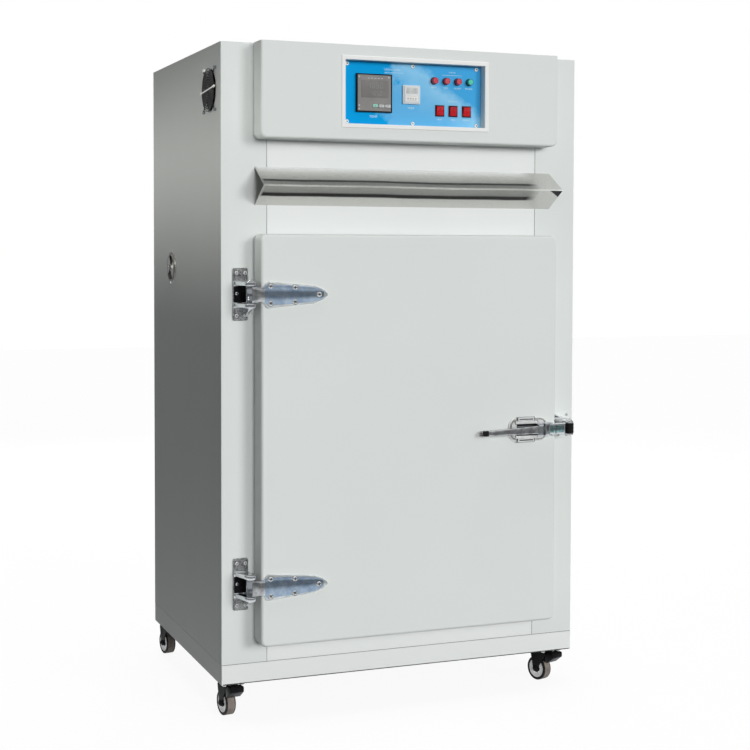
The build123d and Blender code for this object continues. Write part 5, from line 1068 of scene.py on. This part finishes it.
def vent():
    """The round vent: collar with two windows drawn as black quarter discs of painted shade, and the turning
    shutter with its knob.
    """
    collar_x, shutter_x = -3, -5.3
    collar, shutter = Mesh(), Mesh()
    collar.lathe((collar_x, 0, 0), "x", [
        (33.5, 0), (43.6, 0), (45, 1.2), (45, 3), (38, 3), (38, 131), (36.5, 131), (36.5, 2), (33.5, 2),
        (33.5, 0),
    ], "plate_grey", 64)
    # Painted shade: black quarter discs for the two open windows.
    for start in (90, 270):
        collar.prism(pie(34, start, 10, 9), "x", collar_x, -1, "black_gloss", 0.2)
    collar.lathe((collar_x, 0, 0), "x", [(4.1, 0), (9.5, 0), (9.5, 2), (4.1, 2), (4.1, 0)], "steel", 32)
    # A black disc closing the tube's inner end: painted shade inside it.
    collar.lathe((127, 0, 0), "x", [(0, 0), (36.4, 0)], "black")
    # A screw at the foot of the rim, in the glowing bright material: a painted glint.
    collar.lathe((collar_x, 2, -41.5), "x", [(0, -3.4), (2, -3), (3, -1.8), (3.3, 0), (0, 0)], "bright", 24)
    collar.placed(moved(*VENT_PLACE)).piece("vent_sleeve", "cabinet", "zinc_chrome", "vent_collar")

    for start in (150, 330):
        shutter.prism(pie(37.5, start, 14, 8), "x", shutter_x, -3.3, "zinc", 0.5)
    rim = [(34.2, 0), (37.6, 0), (38, 0.5), (38, 1.6), (37.6, 2), (34.2, 2), (34.2, 0)]
    shutter.lathe((shutter_x, 0, 0), "x", rim, "plate_grey", 60)
    shutter.lathe((shutter_x, 0, 0), "x", [
        (0, -8), (6.4, -8), (8, -7), (8.6, -5), (7.6, -2.6), (7.4, -1), (9, 0), (9, 2), (4, 2), (4, 6),
        (0, 6),
    ], "plate_grey", 44)
    # A stud near the shutter's front edge, in the glowing bright material: a painted glint.
    stud = [(0, -5), (3.4, -4.4), (4.8, -2.4), (4, 0), (0, 0)]
    shutter.lathe((shutter_x, -30, 2), "x", stud, "bright", 24)
    rib = drawn(Mesh.box, -6.6, -3.4, -0.5, 0.5, 7.2, 8.9, "plate_grey", 0.3, 1)
    shutter.add(rib, *(turned((shutter_x, 0, 0), "X", angle) for angle in even(14)))
    shutter.placed(moved(*VENT_PLACE)).piece("vent_shutter", "vent_damper", "zinc_chrome", "vent_damper")


def gland():
    """The supply cable gland at the back: body, two nuts and a ribbed cap."""
    bore, nut_radius, nut_height = 9.4, 18, 6
    mesh = Mesh()
    for low in (0, 8):
        high = low + nut_height
        profile = ((bore, low), (nut_radius, low), (nut_radius, high), (bore, high))
        rings = [[(x, y, z) for x, z in hexagon(0, 0, radius)] for radius, y in profile]
        mesh.loft(rings, "black", 0.8, closed=True)
    mesh.lathe(ZERO, "y", [
        (8, 0), (13.4, 0), (14, 0.6), (14, 20), (13, 21), (13, 24), (12.4, 30), (10.6, 32), (8, 32), (8, 0),
    ], "black")
    rib = drawn(Mesh.box, 12.4, 14, 16, 26, -0.6, 0.6, "black", 0.3, 1)
    mesh.add(rib, *(turned(ZERO, "Y", angle) for angle in even(16)))
    place = moved(880, BODY_DEPTH - 8, 1440)
    mesh.placed(place).piece("cable_gland", "cabinet", "black_plastic", "power_gland")


# Casters, each drawn about its swivel axis under the plinth

FORK_TOP = -9.8
AXLE_Z = -62.5
TRAIL = -20
PEDAL_Y, PEDAL_Z = 11.5, FORK_TOP - 6.8


def caster_top(mesh):
    """Top plate with its corner bolts, ball race and kingpin."""
    mesh.prism(rounded(-31, 31, -42, 42, 6), "z", -2.5, 0, "black_gloss")
    race = [(0, -2), (24, -2), (24, -3.4), (22, -5.4), (22, -8.6), (20.5, -9.5), (0, -9.5)]
    mesh.lathe(ZERO, "z", race, "black_gloss", 48)
    mesh.rod((0, 0, -13.1), "z", 5, 3.6, "steel")
    mesh.rod((0, 0, -15.1), "z", 7.5, 2, "zinc")
    for x, turn in ((-23, -10), (23, 50)):
        for y in (-34, 34):
            mesh.rod((x, y, -3.3), "z", 6.6, 0.8, "zinc", 0.2)
            mesh.prism(hexagon(x, y, 5.6, turn), "z", -6.4, -3.2, "zinc", 0.7)


def caster_yoke(mesh, has_pedal):
    """The pressed fork about the swivel axis, with its wheel towards -Y, and its axle."""
    race = [(5.1, -3), (21, -3), (22, -2), (22, -0.6), (21, 0), (5.1, 0), (5.1, -3)]
    mesh.lathe((0, 0, FORK_TOP), "z", race, "black_gloss", 44)
    mesh.prism(rounded(-17, 17, -27, 13, 4), "z", FORK_TOP - 3, FORK_TOP, "black_gloss", 0.8)
    front = [(14, FORK_TOP), (14, FORK_TOP - 9), (9, FORK_TOP - 19), (-5, AXLE_Z + 10)]
    back = [(-35, FORK_TOP - 22), (-38, FORK_TOP - 9), (-36, FORK_TOP - 4), (-33, FORK_TOP)]
    leg = front + arc((TRAIL, AXLE_Z), 9.5, 40, -200, 12) + back
    for side in (-1, 1):
        mesh.prism(leg, "x", *sorted((side * 17, side * 14)), "black_gloss", 1.1, 3)
        nut = [(0, 4.2), (3.4, 4), (5.2, 2.4), (7.4, 1.6), (8.2, 0), (0, 0)]
        mesh.lathe((side * 17, TRAIL, AXLE_Z), "x", [(r, height * side) for r, height in nut], "black", 32)
    mesh.rod((-17, TRAIL, AXLE_Z), "x", 3.95, 34, "steel")
    if has_pedal:
        mesh.rod((-14, PEDAL_Y, PEDAL_Z), "x", 1.75, 28, "steel")


def caster_roll(mesh):
    """The wheel: worn tread, black tyre sides, grey hub faces with a painted glow, and dark cap."""
    centre = (0, TRAIL, AXLE_Z)
    side = ["steel"] + ["black"] * 3 + ["hub"] * 4 + ["tyre"] * 4
    half = [
        (4.05, 13.7), (8, 13.7), (8.8, 13), (9.4, 11), (12, 10.4), (17, 10.6), (22, 11.6), (23.6, 12),
        (25, 12.4), (29, 13), (31, 12.9), (32.2, 12), (32.5, 9.6),
    ]
    profile = half + [(32.5, 0)] + [(radius, -height) for radius, height in reversed(half)] + [half[0]]
    mesh.lathe(centre, "x", profile, "tyre", 72, side + ["tread", "tread"] + side[::-1] + ["steel"])
    spokes = Mesh()
    for x in (-11.4, 10.2):
        spokes.box(x, x + 1.2, -1.5, 1.5, 10.5, 20.5, "hub", 0.5)
    mesh.add(spokes, *(turned(centre, "X", angle) for angle in even(5)))


def caster_brake(mesh):
    """The brake pedal: a deep moulded pad with ribs, on a neck about its pin."""
    half_neck = 13.7
    eye = [(1.85, 0), (3.2, 0), (3.5, 0.4), (3.5, 27), (3.2, 27.4), (1.85, 27.4), (1.85, 0)]
    mesh.lathe((-half_neck, PEDAL_Y, PEDAL_Z), "x", eye, "black_gloss", 24)
    mesh.box(-half_neck, half_neck, PEDAL_Y + 2.4, 20, PEDAL_Z - 2, PEDAL_Z + 2, "black_gloss", 0.8)
    pad = [(18, -2), (18, 2), (24, 3.2), (26, 8), (45.6, 8), (48, 6), (48, -5.2), (26, -22.6), (20, -21.5)]
    mesh.prism([(y, PEDAL_Z + z) for y, z in pad], "x", -19, 19, "black_gloss", 1.6, 3)
    for i in range(5):
        middle = 28.6 + 4 * i
        mesh.box(-15, 15, middle - 0.9, middle + 0.9, PEDAL_Z + 7.6, PEDAL_Z + 8.7, "black", 0.4, 1)
    for x in (-11, 7):
        mesh.box(x, x + 4, 46.8, 47.9, PEDAL_Z - 3, PEDAL_Z + 5, "black", 0.3, 1)


def casters():
    """The four casters; only the front ones have a brake."""
    tops = Mesh()
    for name, angle in CASTER_TURNS.items():
        x, y, _ = pivot(f"swivel_{name}")
        tops.add(drawn(caster_top), moved(x, y, 0))
        place = turned((x, y, 0), "Z", angle)
        front = name.startswith("front")
        parts = [(drawn(caster_yoke, front), "yoke", "caster_fork", "black_plastic"),
                 (drawn(caster_roll), "roll", "caster_wheel", "caster_tyre")]
        if front:
            parts.append((drawn(caster_brake), "brake", "brake_pedal", "black_plastic"))
        for part, label, node, slot in parts:
            part.placed(place).piece(f"{label}_{name}", f"{node}_{name}", slot, f"{node}_{name}")
    tops.piece("caster_tops", "cabinet", "black_plastic", "caster_plates")


# Studio, in metres

def floor():
    """A plain pale floor."""
    size, dark, light = 14, (0.065, 0.065, 0.065), (0.075, 0.075, 0.075)
    data = bpy.data.meshes.new("floor")
    corners = [(-size, -size, 0), (size, -size, 0), (size, size, 0), (-size, size, 0)]
    data.from_pydata(corners, [], [(0, 1, 2, 3)])
    material, graph = new_material("floor_white", (0.07, 0.07, 0.07), 0.8, Specular_IOR_Level=0.0,
                                   Emission_Color=(1, 1, 1, 1), Emission_Strength=0.93)
    graph.put(Base_Color=graph.tint(graph.noise(graph.place(), 3), dark, light))
    quiet = graph.make("BsdfDiffuse", "BSDF", {"Color": (0.04, 0.04, 0.04, 1)})
    seen = graph.make("LightPath", "Is Camera Ray", {})
    shade = graph.choose(seen, quiet, graph.shader.outputs["BSDF"])
    graph.fill(graph.tree.nodes["Material Output"], {"Surface": shade})
    data.materials.append(material)
    thing = show("floor", data)
    thing.visible_glossy = False


def world():
    """A white room; polished parts see darker bands in it."""
    bands = (
        (0.0, 0.85), (0.25, 0.85), (0.36, 0.80), (0.41, 0.24), (0.46, 0.15), (0.485, 0.30), (0.52, 0.24),
        (0.56, 0.11), (0.61, 0.32), (0.66, 0.90), (0.74, 0.40), (0.86, 0.95), (1.0, 0.6),
    )
    room = bpy.data.worlds.new("room")
    room.use_nodes = True
    bpy.context.scene.world = room
    graph = Graph(room.node_tree)
    graph.tree.nodes.clear()
    place = graph.make("TexCoord", "Generated", {})
    wave = graph.spread(graph.noise(place, 4, 2), -0.03, 0.03)
    height = graph.spread(graph.axes(place)[2], 0, 1, -1, 1)
    shine = graph.ramp(graph.plus(height, wave), bands, (0.97, 0.99, 1.01))
    shiny, fill, white = (graph.make("Background", "Background", values) for values in (
        {"Color": shine}, {"Color": (1.0, 0.985, 0.965, 1), "Strength": 0.125}, {"Color": (1, 1, 1, 1)}))
    around = graph.choose(graph.make("LightPath", "Is Glossy Ray", {}), fill, shiny)
    seen = graph.choose(graph.make("LightPath", "Is Camera Ray", {}), around, white)
    graph.fill(graph.tree.nodes.new("ShaderNodeOutputWorld"), {"Surface": seen})


def light(name, kind, energy, direction, **values):
    """A light that shines along a direction."""
    data = bpy.data.lights.new(name, kind)
    data.energy = energy
    for key, value in values.items():
        setattr(data, key, value)
    thing = show(name, data)
    thing.rotation_euler = Vector(direction).to_track_quat("-Z", "Y").to_euler()
    return thing


def sun(name, direction, energy, angle):
    """A soft light from far away, which polished parts don't see."""
    light(name, "SUN", energy, direction, angle=math.radians(angle)).visible_glossy = False


def area_light(name, place, target, size, energy, **values):
    """A soft oblong light that looks at a target."""
    direction = Vector(target) - Vector(place)
    thing = light(name, "AREA", energy, direction, shape="RECTANGLE", **values)
    thing.data.size, thing.data.size_y = size
    thing.location = place
    return thing


def camera():
    """The photograph's camera, as fitted to the cabinet's corners."""
    data = bpy.data.cameras.new("camera")
    data.sensor_width = 36
    data.lens = 72.34
    data.shift_y = -0.0862
    yaw, pitch, roll = -0.3747, -0.0401, 0.0026
    thing = show("camera", data)
    level = Matrix.Rotation(yaw, 4, "Z") @ Matrix.Rotation(math.pi / 2 + pitch, 4, "X")
    thing.matrix_world = moved(-1.494, -3.929, 1.1834) @ level @ Matrix.Rotation(roll, 4, "Z")
    bpy.context.scene.camera = thing


def studio():
    """Floor, room, lights and camera."""
    bpy.context.scene.view_settings.view_transform = "Standard"
    floor()
    world()
    sun("key", (-0.442, 0.868, -0.225), 1.30, 22)
    sun("front", (-0.02, 0.99, -0.14), 1.40, 16)
    sun("sky", (0, 0.02, -1), 1.5, 25)
    area_light("back", (1.0, 4.6, 2.6), (0, -0.1, 0.9), (3.0, 2.5), 90)
    side = area_light("side", (-2.2, 0.03, 1.62), (-0.486, 0.03, 1.425), (1.6, 0.06), 0.90,
                      color=(1.0, 0.98, 0.93), spread=math.radians(28))
    side.visible_camera = False
    camera()


for make in (cabinet_details, back_details, controller, timer, lamps, rockers, panel_print, hinges, latch,
             side_fan, vent, gland, casters, studio):
    make()

bpy.context.view_layer.update()
